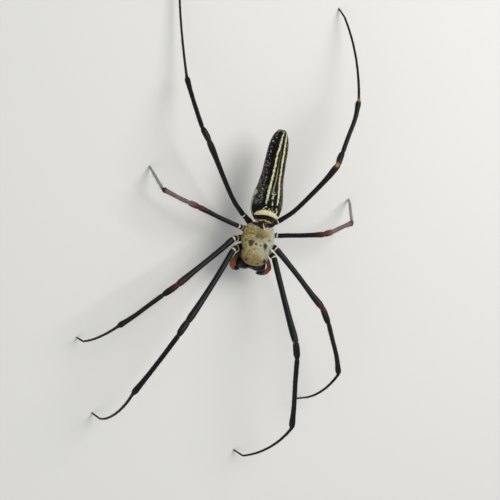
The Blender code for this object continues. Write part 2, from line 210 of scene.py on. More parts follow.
def wrap(bm, across, along, shape):
    """Wrap a flat grid round a form. shape turns the two map numbers, 0 to 1, into places and marks."""
    flat = bmesh.ops.create_grid(bm, x_segments=across, y_segments=along, size=0.5, calc_uvs=True)["verts"]
    spots = np.array([vert.co[:2] for vert in flat]) + 0.5
    places, marks = shape(spots[:, 0], spots[:, 1])
    layer = bm.verts.layers.float_vector["mark"]
    for vert, place, mark in zip(flat, places, marks):
        vert.co = place
        vert[layer] = mark
    bmesh.ops.remove_doubles(bm, verts=flat, dist=SEAM)


def new_object(name, data):
    """A new object in the scene."""
    made = bpy.data.objects.new(name, data)
    bpy.context.scene.collection.objects.link(made)
    return made


def set_down(mesh, finish):
    """Make a mesh a smooth piece that rides on the spider's one body."""
    mesh.shade_smooth()
    mesh.materials.append(finish)
    piece = new_object(mesh.name, mesh)
    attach(piece, "root")
    return piece


def settle(bm, name, finish, slot, *nodes):
    """Finish a form's mesh and set it into the frame; nodes are what it stands for."""
    layer = bm.verts.layers.float_vector["place"]
    for vert in bm.verts:
        vert[layer] = vert.co
    bmesh.ops.recalc_face_normals(bm, faces=bm.faces)
    bmesh.ops.transform(bm, matrix=Matrix.Translation(WAIST) @ Matrix.Scale(MM, 4), verts=bm.verts)
    mesh = bpy.data.meshes.new(name)
    bm.to_mesh(mesh)
    bm.free()
    piece = set_down(mesh, finish)
    if nodes:
        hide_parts(*nodes)
    return piece


def from_line(x, y, start, end):
    """Distance in mm from a straight line between two points."""
    reach = np.subtract(end, start)
    t = np.clip(((x - start[0]) * reach[0] + (y - start[1]) * reach[1]) / (reach @ reach), 0, 1)
    return np.hypot(x - start[0] - t * reach[0], y - start[1] - t * reach[1])


def patch_edge(x, y):
    """Distance in mm outside the nearest bare patch, negative inside it."""
    edges = []
    for px, py, wide, long, taper in PATCHES:
        across = (x - px) / (wide * np.clip(1 + taper * (y - py) / long, 0.2, 2))
        edges.append((np.hypot(across, (y - py) / long) - 1) * min(wide, long))
    return np.min(edges, axis=0)


def uneven(places, size, seed):
    """Smooth random height from -1 to 1, with features of that size in mm."""
    shift = Vector((seed * 7.3, seed * 3.1, seed * 5.7))
    return np.array([noise.noise(Vector(place) / size + shift) for place in places])


shell_row = curve_through(SHELL_ROWS)
eye_names = [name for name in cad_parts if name.startswith("eye")]
eye_spots = {name: (sum(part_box(name), Vector()) / 2 - WAIST) / MM for name in eye_names}
eye_ways = {name: unit(np.array(spot) - (0, spot.y + EYE_AXIS[0], EYE_AXIS[1]))
            for name, spot in eye_spots.items()}


def shell_shape(u, v):
    """The shell's places, with distance outside a bare patch and from the fovea, and how silver it is."""
    top = u < SHELL_TOP_SHARE
    angle = np.where(top, u / SHELL_TOP_SHARE, 1 + (u - SHELL_TOP_SHARE) / (1 - SHELL_TOP_SHARE)) * math.pi
    first, last = SHELL_ROWS[0][0], SHELL_ROWS[-1][0]
    y = first + (last - first) * (0.8 * v + 0.2 * (1 - np.cos(math.pi * v)) / 2)
    places = rounded(shell_row, y, angle)
    x, z = places[:, 0], places[:, 2]
    over = np.clip(np.sin(angle) * 2, 0, 1)
    rise = np.zeros_like(x)
    for start, end, width, depth in (*FURROWS, FOVEA):
        rise -= depth * bell((from_line(np.abs(x), y, start, end), width))
    edge = patch_edge(x, y)
    rise += PATCH_RISE * np.clip(-edge / 0.5, 0, 1) ** 0.5
    rise += RIPPLE * uneven(places, 0.9, 1)
    z += (rise - SHELL_COAT) * over
    x *= 1 - SHELL_COAT / 4.5
    y = y - NOTCH[1] * bell((x - NOTCH[0], NOTCH[2])) * np.clip((y + 3) / 3, 0, 1) ** 2
    places = np.stack([x, y, z], -1)
    for name, spot in eye_spots.items():
        near = bell((np.linalg.norm(places - np.array(spot), axis=1), EYE_SWELL[1]))
        places += eye_ways[name] * EYE_SWELL[0] * near[:, None]
    fovea = from_line(np.abs(x - 0.1), y, (0.1, -3.3), (0.8, -3.6))
    # Silver also rises steadily towards the spider's left: painted light, that side being the more brightly
    # lit.
    silver = 0.5 + 0.055 * x - 0.1 * np.clip(-9.3 - y, 0, 1.5)
    for amount, across, along in SILVER:
        silver += amount * bell((x - across[0], across[1]), (y - along[0], along[1]))
    return places, np.stack([edge, fovea, silver], -1)


def carried(tree):
    """What a form's points carry, as outputs: their place and the three numbers for the markings. The place
    is in mm, so a noise's scale is the number of its grains in a mm."""
    place, mark = (add(tree, "Attribute", attribute_name=name)["Vector"] for name in ("place", "mark"))
    return place, *add(tree, "SeparateXYZ", mark)


def inside(tree, edge, noise, fray, near, far, full=1.0):
    """How full a marking's colour is, from the distance outside its edge, which the noise frays."""
    frayed = add(tree, "Math", noise, fray, edge, operation="MULTIPLY_ADD")[0]
    return add(tree, "MapRange", frayed, near, far, full, 0.0)[0]


def shell_colours(tree):
    """Gold-olive to silver-cream in rays from the fovea, which is grey, with slate bare patches. Silver grows
    towards the left side as painted light, and the rear patches' dark is partly painted shadow.
    """
    place, edge, fovea, silver = carried(tree)
    mottle = add(tree, "TexNoise", place, Scale=1.7, Detail=5.0, Roughness=0.7)[0]
    spread = add(tree, "MapRange", mottle, 0.32, 0.68, -0.42, 0.42)[0]
    x, y, z = add(tree, "SeparateXYZ", place)
    aside = add(tree, "Math", x, 0.3, operation="SUBTRACT")[0]
    ahead = add(tree, "Math", y, -3.2, operation="SUBTRACT")[0]
    around = add(tree, "Math", aside, ahead, operation="ARCTAN2")[0]
    turned = add(tree, "Math", around, 5.0, operation="MULTIPLY")[0]
    fan = add(tree, "CombineXYZ", turned, z)[0]
    rays = add(tree, "TexNoise", fan, Scale=1.3, Detail=3.0, Roughness=0.6)[0]
    rays = add(tree, "MapRange", rays, 0.3, 0.7, -0.3, 0.3)[0]
    blend = add(tree, "Math", silver, spread, operation="ADD")[0]
    blend = add(tree, "Math", blend, rays, operation="ADD")[0]
    velvet = add(tree, "ValToRGB", blend, stops=(
        (0.0, "#7c6a32"), (0.25, "#b5a35c"), (0.5, "#cbc085"), (0.75, "#d6d5ba"), (1.0, "#dfe2dc")))[0]
    low = add(tree, "VectorMath", place, (0.45, -2.5, 14.3), operation="SUBTRACT")[0]
    low = add(tree, "VectorMath", low, (0.45, 1.5, 0.4), operation="MULTIPLY")[0]
    low = add(tree, "VectorMath", low, operation="LENGTH")["Value"]
    warm = add(tree, "MapRange", low, 0.5, 1.3, 0.6, 0.0)[0]
    velvet = add(tree, "MixRGB", warm, velvet, "#9c8450")[0]
    brow = add(tree, "MapRange", y, -8.3, -10.4, 0.0, 0.55)[0]
    velvet = add(tree, "MixRGB", brow, velvet, "#b08f52")[0]
    pit = add(tree, "MapRange", fovea, 0.1, 0.8, 0.75, 0.0)[0]
    dull = add(tree, "MixRGB", pit, velvet, "#6e5f50")[0]
    # Slate where the plate is bare; on the rear slopes this dark is partly painted shadow of the overhanging
    # abdomen.
    bare = inside(tree, edge, spread, 0.8, -0.1, 0.14)
    slate = add(tree, "MapRange", y, -9.6, -9.0)[0]
    slate = add(tree, "MixRGB", slate, "#1d160c", "#26261f")[0]
    return add(tree, "MixRGB", bare, dull, slate)[0], place


# Hard waxy cuticle seen between the hairs: dull, finely grained.
shell_cuticle, tree, shader = material("hair_covered_cuticle", 0.6)
colour, place = shell_colours(tree)
shade = add(tree, "MixRGB", 1.0, colour, "#b8b0a4", blend_type="MULTIPLY")[0]
grain = add(tree, "TexNoise", place, Scale=9.0, Detail=3.0)[0]
bump = add(tree, "Bump", Strength=0.5, Distance=0.00006, Height=grain)[0]
wire(shader, Base_Color=shade, Normal=bump)

form = new_form()
wrap(form, 132, 112, shell_shape)
shell = settle(form, "carapace_plate", shell_cuticle, "shell", "carapace")


# One hair: three points at its root, three at its bend, and its tip.
HAIR_POINTS = 7
HAIR_FACES = ((0, 2, 1), (0, 1, 4), (0, 4, 3), (1, 2, 5), (1, 5, 4), (2, 0, 3), (2, 3, 5),
              (3, 4, 6), (4, 5, 6), (5, 3, 6))
HAIR_MAP = ((-1, -1), (1, -1), (0, 1), (-0.6, -0.4), (0.6, -0.4), (0, 0.8), (0, 0))
HAIR_MAP_SIZE = 0.0015  # of its patch on the skin's map
HAIR_BEND = 0.55  # where it bends, as a share of its length
HAIR_TAPER = 0.7  # its width there, over the width at its root
HAIR_DROOP = 0.12  # how far its tip bends back to the skin, over its length


def grow_coat(name, skin, finish, count, length, width, rise, stray, seed, density=None, lie=None):
    """Short solid hairs rooted in a skin. Each is a bent three-sided spike that lies towards the skin's far
    end, or the way lie says, at rise degrees off it; density is the chance of a hair at each point."""
    random = np.random.default_rng(seed)
    mesh = skin.data
    mesh.calc_loop_triangles()

    def rows_of(items, what, size, kind=np.float32):
        """What the mesh's items hold, as rows of numbers."""
        values = np.empty(len(items) * size, kind)
        items.foreach_get(what, values)
        return values.reshape(-1, size)

    corner = rows_of(mesh.loop_triangles, "vertices", 3, np.int32)
    loops = rows_of(mesh.loop_triangles, "loops", 3, np.int32)
    maps = rows_of(mesh.uv_layers["OFBake"].uv, "vector", 2)[loops]
    normals = rows_of(mesh.vertices, "normal", 3)
    place = rows_of(mesh.attributes["place"].data, "vector", 3).astype(float)
    mark = rows_of(mesh.attributes["mark"].data, "vector", 3).astype(float)

    spots = place[corner]
    one, two = spots[:, 1] - spots[:, 0], spots[:, 2] - spots[:, 0]
    flat = np.cross(one, two)
    area = np.linalg.norm(flat, axis=1) + 1e-12
    facing = flat / area[:, None]
    chance = area.copy()
    if density is not None:
        chance *= np.clip(density(place, mark), 0, None)[corner].mean(1)
    climb = maps[:, :, 1]
    along = ((climb[:, 1] - climb[:, 0])[:, None] * np.cross(two, facing)
             + (climb[:, 2] - climb[:, 0])[:, None] * np.cross(facing, one)) / area[:, None]

    # Roots spread over the skin's triangles.
    pick = random.choice(len(corner), count, p=chance / chance.sum())
    share = random.random((count, 2))
    share = np.where(share.sum(1, keepdims=True) > 1, 1 - share, share)
    share = np.column_stack([1 - share.sum(1), share])
    root = np.einsum("ij,ijk->ik", share, spots[pick])
    mark = np.einsum("ij,ijk->ik", share, mark[corner[pick]])
    normal = unit(np.einsum("ij,ijk->ik", share, normals[corner[pick]]))
    at_map = np.clip(np.einsum("ij,ijk->ik", share, maps[pick]), 0.003, 0.997)

    # Each hair's way along the skin, its length and its width.
    way = along[pick] if lie is None else lie(root)
    way = unit(way - normal * (way * normal).sum(1, keepdims=True))
    sweep = (np.radians(stray) * (random.normal(size=count) * 0.6 + uneven(root, 1.1, seed)))[:, None]
    side = np.cross(normal, way)
    way, side = way * np.cos(sweep) + side * np.sin(sweep), side * np.cos(sweep) - way * np.sin(sweep)
    lift = np.radians(rise) * random.uniform(0.6, 1.4, (count, 1))
    up = way * np.cos(lift) + normal * np.sin(lift)
    far = random.uniform(*length, (count, 1))
    half = width / 2 * random.uniform(0.8, 1.2, (count, 1))
    back = np.cross(up, side)
    sunk = root - normal * width * 0.5

    bend = sunk + up * far * HAIR_BEND
    tip = sunk + up * far - normal * far * HAIR_DROOP
    spikes = [start + corner * half * size for start, size in ((sunk, 1), (bend, HAIR_TAPER))
              for corner in (-side, side, -back)]
    spikes = np.stack([*spikes, tip], 1)
    knit = (np.arange(count)[:, None, None] * HAIR_POINTS + np.array(HAIR_FACES)).reshape(-1)
    patch = np.array(HAIR_MAP) * HAIR_MAP_SIZE

    # One mesh of them all.
    coat = bpy.data.meshes.new(name)
    coat.vertices.add(count * HAIR_POINTS)
    coat.vertices.foreach_set("co", (spikes * MM + np.array(WAIST)).astype(np.float32).ravel())
    coat.loops.add(len(knit))
    coat.loops.foreach_set("vertex_index", knit.astype(np.int32))
    coat.polygons.add(len(knit) // 3)
    coat.polygons.foreach_set("loop_start", np.arange(0, len(knit), 3, dtype=np.int32))
    coat.update(calc_edges=True)
    coat.uv_layers.new(name="OFBake")
    at = (at_map[:, None, :] + patch).reshape(-1, 2)[knit]
    coat.uv_layers["OFBake"].uv.foreach_set("vector", at.astype(np.float32).ravel())
    for layer, values in (("place", root), ("mark", mark)):
        coat.attributes.new(layer, "FLOAT_VECTOR", "POINT")
        values = np.repeat(values, HAIR_POINTS, axis=0).astype(np.float32)
        coat.attributes[layer].data.foreach_set("vector", values.ravel())
    set_down(coat, finish)


# Short flattened hairs with a silky glint.
shell_velvet, tree, shader = material("silver_gold_hair", 0.42, Specular_IOR_Level=0.6)
wire(shader, Base_Color=shell_colours(tree)[0])


def velvet_density(place, mark):
    """No hair on the bare patches, round the eyes or under the shell."""
    clear = np.clip(mark[:, 0] / BARE_EDGE, 0, 1) * np.clip((place[:, 2] - VELVET_FOOT) / 0.3, 0, 1)
    for spot in eye_spots.values():
        clear *= np.clip((np.linalg.norm(place - np.array(spot), axis=1) - EYE_CLEAR) / 0.25, 0, 1)
    return clear


grow_coat("carapace_velvet", shell, shell_velvet, 17500, (0.32, 0.55), 0.06, 14, 38, 11,
          velvet_density, lambda root: root - (0, -3.4, 13.4))


# ---------------- eyes
# Eight simple eyes of clear hard cuticle, each set in a low dark rim on the front of the shell. The two
# of each side share one knob.

LENS_PROFILE = ((1.12, 0.3), (1.25, 0.34), (1.4, 0.2), (1.45, -0.2), (0.0, -0.4))  # rim: radius and height


def lens(bm, centre, outward, radius):
    """A dome with a raised rim, turned to face outward."""
    turns = np.radians(np.linspace(0, 75, 9))
    profile = np.concatenate([np.stack([np.sin(turns), np.cos(turns)], 1), LENS_PROFILE]) * radius
    outward = unit(outward)
    side = unit(np.cross(outward, (0, 0, 1)))
    up = np.cross(side, outward)

    def shape(u, v):
        out, high = profile[np.rint(v * (len(profile) - 1)).astype(int)].T[:, :, None]
        angle = 2 * math.pi * u[:, None]
        around = np.cos(angle) * side + np.sin(angle) * up
        return centre + out * around + high * outward, np.zeros((len(u), 3))

    wrap(bm, 24, len(profile) - 1, shape)


# Clear black lens over dark pigment, wet and glassy.
eye_lens = material("black_eye_lens", 0.08, Base_Color="#0b0807", Coat_Weight=0.4)[0]

for name, spot in eye_spots.items():
    outward = eye_ways[name]
    form = new_form()
    if name.startswith("eyes_side"):
        for step in (-0.24, 0.24):
            lens(form, np.array(spot) + (0, step, 0) + outward * 0.02, outward + (0, step * 1.5, 0), 0.17)
    else:
        lens(form, np.array(spot) - outward * 0.1, outward, 0.22)
    settle(form, name + "_lens", eye_lens, "eye", name)


# ---------------- breastplate and the flesh above it
# A heart-shaped plate under the fore body with a low boss by each leg base, joined to the shell's
# edge by soft grey-brown skin.

STERNUM_ROWS = (
    (-8.32, 0.0, 11.0, 10.9, 10.8), (-8.3, 1.1, 11.8, 10.9, 9.95), (-7.4, 1.75, 12.0, 10.7, 9.55),
    (-6.0, 2.35, 12.1, 10.6, 9.25), (-4.2, 2.55, 12.1, 10.6, 9.15), (-2.4, 2.35, 12.1, 10.6, 9.25),
    (-1.1, 1.65, 12.1, 10.7, 9.55), (-0.2, 1.05, 12.0, 10.9, 9.95), (0.38, 0.55, 11.8, 11.2, 10.55),
    (0.4, 0.0, 11.3, 11.2, 11.1),
)
STERNUM_BOSSES = ((0.9, -7.3), (1.5, -5.6), (1.6, -3.6), (1.1, -1.7))  # |x|, y
FLANK_SHARE = 0.86  # the soft skin's half width over the shell's


def body_shape(rows, bumps=None):
    """A wrap round lofted rows, whose section is an oval where they give no boxiness and dip. The seam lies
    underneath. bumps gives the places' own relief and marks."""
    row = curve_through([row if len(row) > 5 else (*row, 1.0, 0.0) for row in rows])

    def shape(u, v):
        angle = (2 * u - 0.5) * math.pi
        y = rows[0][0] + (rows[-1][0] - rows[0][0]) * (0.7 * v + 0.3 * (1 - np.cos(math.pi * v)) / 2)
        places = rounded(row, y, angle)
        if bumps is None:
            return places, np.zeros((len(u), 3))
        return bumps(places, angle)

    return shape


def sternum_relief(places, angle):
    """Bosses by the leg bases, and the distance outside the orange patch."""
    x, y = places.T[:2]
    under = np.clip(-np.sin(angle) * 1.5, 0, 1)
    lift = np.zeros_like(x)
    for bx, by in STERNUM_BOSSES:
        lift += 0.16 * bell((np.abs(x) - bx, 0.35), (y - by, 0.35))
    patch = np.hypot(x / 0.9, (y + 4.6) / 2.2) - 1
    return places - np.stack([0 * x, 0 * x, lift * under], -1), np.stack([patch, 0 * x, 0 * x], -1)


# Hard glossy cuticle, dark brown, with a dull orange patch down its middle.
sternum_cuticle, tree, shader = material("breastplate_cuticle", 0.42)
place, patch, _, _ = carried(tree)
mottle = add(tree, "TexNoise", place, Scale=1.6, Detail=4.0)[0]
ground = add(tree, "ValToRGB", mottle, stops=((0.3, "#1b1310"), (0.7, "#33231b")))[0]
middle = inside(tree, patch, mottle, 1.2, 0.35, 0.75, 0.75)
wire(shader, Base_Color=add(tree, "MixRGB", middle, ground, "#8a5a2c")[0])


def mottled(name, roughness, scale, detail, *stops):
    """A new material in two tones of noise, with its node tree, its shader and the noise."""
    made, tree, shader = material(name, roughness)
    place = add(tree, "Attribute", attribute_name="place")["Vector"]
    mottle = add(tree, "TexNoise", place, Scale=scale, Detail=detail)[0]
    wire(shader, Base_Color=add(tree, "ValToRGB", mottle, stops=stops)[0])
    return made, tree, shader, mottle


# Soft matt skin in fine folds.
flank_skin, tree, shader, folds = mottled("soft_flank_skin", 0.65, 4.0, 4.0, (0.35, "#2a1f19"),
                                          (0.7, "#4a3a2e"))
wire(shader, Normal=add(tree, "Bump", Strength=0.6, Distance=0.0001, Height=folds)[0])

form = new_form()
wrap(form, 60, 56, body_shape(STERNUM_ROWS, sternum_relief))
settle(form, "breastplate", sternum_cuticle, "dark_cuticle", "sternum")

flank_rows = [(-10.42, 0.0, 12.4, 12.3, 12.2)]
for y in (-10.4, -9.0, -7.0, -5.0, -3.0, -1.4, -0.6):
    flank_rows.append((y, shell_row(y)[0][0] * FLANK_SHARE, 12.9, 12.3, 11.6, 1.4, 0.0))
flank_rows += [(0.1, 2.5, 12.8, 12.2, 11.5, 1.2, 0.0), (0.5, 1.7, 12.6, 12.1, 11.6, 1.0, 0.0),
               (0.55, 0.0, 12.2, 12.1, 12.0)]
form = new_form()
wrap(form, 48, 40, body_shape(flank_rows))
settle(form, "flank_flesh", flank_skin, "dark_cuticle")


# ---------------- lip and jaw plates
# Three dark plates round the mouth: the lip, and on each side the base plate of a palp, with a
# fringe of red-brown hairs along its inner front edge.

LIP = ((0.0, -8.6, 10.5, 0.4), (0.0, -9.2, 10.15, 0.72), (0.0, -9.9, 10.1, 0.6), (0.0, -10.3, 10.15, 0.3))
JAW_PLATE = ((1.25, -8.75, 10.6, 0.5), (1.35, -9.5, 10.45, 0.85), (1.1, -10.2, 10.4, 0.8),
             (0.75, -10.8, 10.4, 0.4))


def walk(places):
    """Each place's distance along the row of places."""
    return np.concatenate([[0], np.cumsum(np.linalg.norm(np.diff(places, axis=0), axis=1))])


def strand(rows, count):
    """Centres and radii along a smooth strand with round ends, through rows of (x, y, z, radius)."""
    rows = np.array(rows, float)
    at = walk(rows[:, :3])
    t = np.arange(count + 1) / count
    s = at[-1] * (0.4 * t + 0.6 * (1 - np.cos(math.pi * t)) / 2)
    values = curve_through(np.column_stack([at, rows]), tight=False)(s)
    return values[:, :3], rounded_ends(s, at[-1], values[:, 3])


def rounded_ends(s, length, radii):
    """Radii that shrink to nothing on a round cap at either end."""
    end = np.clip(np.minimum(s, length - s) / radii, 0, 1)
    return radii * np.sqrt(1 - (1 - end) ** 2)


def tube(bm, centres, radii, sides=20, marks=None, outline=None, up=(0, 0, 1)):
    """A round form along a row of centres, with the map's seam along its underside. marks gives a
    point's numbers from its ring and how far right of and above the axis it is, -1 to 1; outline scales
    the radius."""
    ahead = unit(np.gradient(centres, axis=0))
    side = unit(np.cross(ahead, up))
    top = np.cross(side, ahead)

    def shape(u, v):
        ring = np.rint(v * (len(centres) - 1)).astype(int)
        angle = 2 * math.pi * u
        across, high = np.sin(angle), -np.cos(angle)
        reach = radii[ring] * (1 if outline is None else outline(across, high))
        places = centres[ring] + reach[:, None] * (across[:, None] * side[ring] + high[:, None] * top[ring])
        return places, np.zeros((len(u), 3)) if marks is None else marks(ring, across, high)

    wrap(bm, sides, len(centres) - 1, shape)


def mirrored(rows, mirror):
    """Rows given for the spider's left, for the side that mirror names."""
    return [(row[0] * mirror, *row[1:]) for row in rows]


# Dark brown cuticle, faintly mottled.
mouth_cuticle = mottled("mouth_plate_cuticle", 0.4, 2.0, 3.0, (0.3, "#1c1210"), (0.7, "#3a251b"))[0]

form = new_form()
tube(form, *strand(LIP, 24))
for mirror in (1, -1):
    tube(form, *strand(mirrored(JAW_PLATE, mirror), 28))
mouth = settle(form, "lip_and_jaw_plates", mouth_cuticle, "dark_cuticle", "mouthparts")

# Stiff red-brown hairs.
fringe_hair = material("red_brown_fringe_hair", 0.5, Base_Color="#6e3a22")[0]
grow_coat("mouth_fringe", mouth, fringe_hair, 500, (0.35, 0.6), 0.035, 45, 15, 21,
          lambda place, mark: (np.abs(place[:, 0]) < 1.0) * (place[:, 1] < -10.4) * (place[:, 2] < 10.6))


# ---------------- jaws and fangs
# Two stout black jaws hang from the brow, hard and glossy, with a smooth boss outside their base, a
# few bristles, and three teeth on either edge of the groove that the fang folds into. Soft skin joins them.

JAW = ((2.2, -12.35, 12.5, 1.35), (2.3, -12.45, 12.1, 1.9), (2.42, -12.65, 11.3, 2.3),
       (2.42, -12.65, 10.2, 2.25), (2.2, -12.65, 8.9, 1.78), (1.8, -12.55, 7.8, 1.2),
       (1.6, -12.5, 7.25, 0.85))
JAW_DEPTH = 0.78  # over its width
JAW_SQUARENESS = 2.8  # the power of its section's rounded oblong
JAW_SKIN = ((0.0, -12.5, 12.7, 0.6), (0.0, -13.1, 11.9, 0.8), (0.0, -13.2, 10.8, 0.7), (0.0, -12.7, 9.6, 0.4))
JAW_AXIS = (2.4, -12.6, 11.3)
BOSS = (4.15, -12.75, 11.7)
BOSS_SIZE = (0.16, 0.5)  # its height and half width
TOOTH = ((0.0, 0.13), (0.22, 0.1), (0.42, 0.03))  # mm below its foot, radius
FANG = ((1.6, -12.5, 7.35, 0.42), (1.5, -12.45, 6.95, 0.4), (1.25, -12.1, 6.6, 0.33), (0.8, -11.6, 6.4, 0.22),
        (0.4, -11.1, 6.45, 0.1))


def jaw_outline(across, high):
    """A rounded oblong."""
    square = np.abs(across) ** JAW_SQUARENESS + np.abs(high / JAW_DEPTH) ** JAW_SQUARENESS
    return square ** (-1 / JAW_SQUARENESS)


# Black glossy cuticle with a very fine grain.
jaw_cuticle, tree, shader = material("black_jaw_cuticle", 0.34, Base_Color="#060504", Specular_IOR_Level=0.3)
place = add(tree, "Attribute", attribute_name="place")["Vector"]
grain = add(tree, "TexNoise", place, Scale=7.0, Detail=3.0)[0]
wire(shader, Normal=add(tree, "Bump", Strength=0.35, Distance=0.00004, Height=grain)[0])

# Polished dark red-brown cuticle.
fang_cuticle = material("polished_fang_cuticle", 0.15, Base_Color="#2a0f0a")[0]

# Stiff black bristles.
black_bristle = material("black_bristle", 0.45, Base_Color="#15110f")[0]

# Dark soft skin that folds as the jaws part.
fold_skin = material("dark_folding_skin", 0.6, Base_Color="#1a1310")[0]

form = new_form()
tube(form, *strand(JAW_SKIN, 20), up=(0, -1, 0))
settle(form, "skin_between_jaws", fold_skin, "dark_cuticle")

for side, mirror in (("L", 1), ("R", -1)):
    form = new_form()
    tube(form, *strand(mirrored(JAW, mirror), 44), sides=36, outline=jaw_outline, up=(0, -1, 0))
    boss, axis = (Vector(spot) for spot in mirrored((BOSS, JAW_AXIS), mirror))
    for vert in form.verts:
        near = math.exp(-((vert.co - boss).length / BOSS_SIZE[1]) ** 2)
        vert.co += (vert.co - axis).normalized() * BOSS_SIZE[0] * near
    for edge in (-12.95, -12.05):
        for tooth in range(3):
            foot = Vector(((1.0 + 0.28 * tooth) * mirror, edge, 7.85 - 0.12 * tooth))
            rows = [(*(foot - Vector((0, 0, down))), radius) for down, radius in TOOTH]
            tube(form, *strand(rows, 8), sides=8, up=(0, 1, 0))
    jaw = settle(form, f"jaw_{side}", jaw_cuticle, "jaw", f"chelicera_{side}")
    form = new_form()
    tube(form, *strand(mirrored(FANG, mirror), 30), sides=16, up=(1, 0, 0))
    settle(form, f"jaw_fang_{side}", fang_cuticle, "jaw", f"fang_{side}")
    grow_coat(f"jaw_bristles_{side}", jaw, black_bristle, 900, (0.25, 0.5), 0.03, 32, 20,
              31 + mirror, lambda place, mark: (place[:, 2] > 7.6) * np.clip(11.9 - place[:, 2], 0.05, 1.0))
    grow_coat(f"jaw_fringe_{side}", jaw, fringe_hair, 260, (0.35, 0.6), 0.035, 50, 15, 35 + mirror,
              lambda place, mark: (np.abs(place[:, 0]) < 1.3) * (place[:, 2] < 8.7) * (place[:, 2] > 7.5))


# ---------------- palps
# Six-jointed feelers of half glossy cuticle, set in the jaw plates: rust red and thinly haired, with a
# dark base and a black last joint.

PALP_STEM = ((2.2, -9.45, 10.55, 0.65), (3.6, -9.8, 10.9, 0.85), (4.65, -10.6, 11.1, 0.74),
             (5.4, -11.75, 11.3, 0.63), (5.75, -12.8, 11.1, 0.72))
PALP_TIP = {
    "L": ((5.6, -13.65, 10.7, 0.72), (5.0, -14.45, 10.25, 0.68), (3.8, -14.95, 9.85, 0.6),
          (2.55, -15.1, 9.5, 0.4)),
    "R": ((5.62, -13.65, 10.7, 0.8), (5.1, -14.4, 10.2, 0.68), (4.0, -14.75, 9.75, 0.6),
          (2.95, -14.75, 9.35, 0.4)),
}
PALP_JOINTS = (0.14, 0.27, 0.5, 0.61, 0.74)  # fractions of its length


def palp_colours(tree):
    """Dark at the base, rust red, then black from the last joint on."""
    place, along, joint, _ = carried(tree)
    mottle = add(tree, "TexNoise", place, Scale=2.5, Detail=3.0)[0]
    shift = add(tree, "Math", mottle, 0.06, along, operation="MULTIPLY_ADD")[0]
    tone = add(tree, "ValToRGB", shift, stops=(
        (0.0, "#17100e"), (0.35, "#1a100e"), (0.42, "#662c12"), (0.6, "#94480f"), (0.77, "#884012"),
        (0.82, "#12100f"), (1.0, "#0d0c0c")))[0]
    rim = add(tree, "MapRange", joint, 0.08, 0.2, 0.5, 0.0)[0]
    return add(tree, "MixRGB", rim, tone, "#2a120c")[0]


# Rust-red cuticle, half glossy.
palp_skin, tree, shader = material("rust_red_cuticle", 0.38)
wire(shader, Base_Color=palp_colours(tree))

# Short hairs of the same colours as the skin under them.
palp_hair, tree, shader = material("palp_hair", 0.5)
wire(shader, Base_Color=palp_colours(tree))

for side, mirror in (("L", 1), ("R", -1)):
    centres, radii = strand(mirrored(PALP_STEM + PALP_TIP[side], mirror), 110)
    walked = walk(centres)
    near_joint = np.min([np.abs(walked - joint * walked[-1]) for joint in PALP_JOINTS], axis=0)
    radii = radii * (1 - 0.16 * bell((near_joint, 0.13)))
    form = new_form()
    tube(form, centres, radii, sides=24, marks=lambda ring, across, high: np.stack(
        [walked[ring] / walked[-1], near_joint[ring], 0 * high], -1))
    palp = settle(form, f"palp_skin_{side}", palp_skin, "palp", f"palp_{side}")
    grow_coat(f"palp_hairs_{side}", palp, palp_hair, 1500, (0.3, 0.55), 0.03, 26, 16, 41 + mirror,
              lambda place, mark: 0.3 + mark[:, 0])


# ---------------- legs
# Eight legs of seven segments each, one unbroken skin of dark cuticle per leg, with cream rings at the
# hip, soft orange skin at the bends, a thin coat of short hairs, and three claws at the toe.

LEG_COAT = 0.04  # the skin lies this far inside the tips of the coat
HIP_SHARE = 0.72  # where the first joint lies between root and knuckle
HIP_HEIGHT = 11.0
METATARSUS_STEPS = 8
TOE_HEIGHT = 0.12  # of the toe's axis above the floor
# Per pair: root, knuckle, lengths of thigh, knee, shin, metatarsus and toe, stoutness, radii along the
# thigh at these joint numbers, and the colours of thigh, knee, shin, foot and of the soft skin at the bends.
THIGH_AT = (2.0, 2.04, 2.12, 2.3, 2.55, 2.75, 2.93, 3.0)
LEG_PAIRS = {
    "1": ((2.6, -7.2, 10.6), (6.3, -9.1, 12.0), (27.0, 5.2, 21.8, 25.4, 4.4), 1.0,
        (0.86, 0.9, 0.9, 0.9, 0.93, 1.0, 1.1, 0.94),
        ("#0f1113", "#110c0b", "#0a0807", "#0e0b0a", "#ad6a36")),
    "2": ((3.2, -5.0, 10.6), (6.8, -6.0, 11.6), (22.9, 5.3, 16.2, 20.0, 3.9), 0.94,
        (0.88, 0.95, 0.93, 0.86, 0.84, 0.92, 1.08, 0.92),
        ("#0f1113", "#3e1a13", "#0e0b08", "#0e0b0a", "#ad6a36")),
    "3": ((3.1, -2.7, 10.6), (6.0, -1.9, 11.4), (14.3, 3.3, 8.6, 9.4, 2.7), 0.88,
        (0.7, 0.74, 0.73, 0.71, 0.72, 0.76, 0.88, 0.8),
        # The third pair's pale pinkish shin and pale grey foot are painted highlight: the glare of light
        # along their upper sides, laid into their colour.
        ("#0d0c0d", "#5a2a1c", "#86706a", "#a6aeac", "#8c5a3c")),
    "4": ((2.2, -0.6, 10.6), (5.2, 1.7, 11.2), (27.0, 4.4, 17.5, 27.2, 4.0), 0.9,
        (0.8, 0.8, 0.75, 0.72, 0.76, 0.82, 1.0, 0.86),
        ("#0c0b0a", "#1d110b", "#090807", "#0b0a09", "#c9975c")),
}
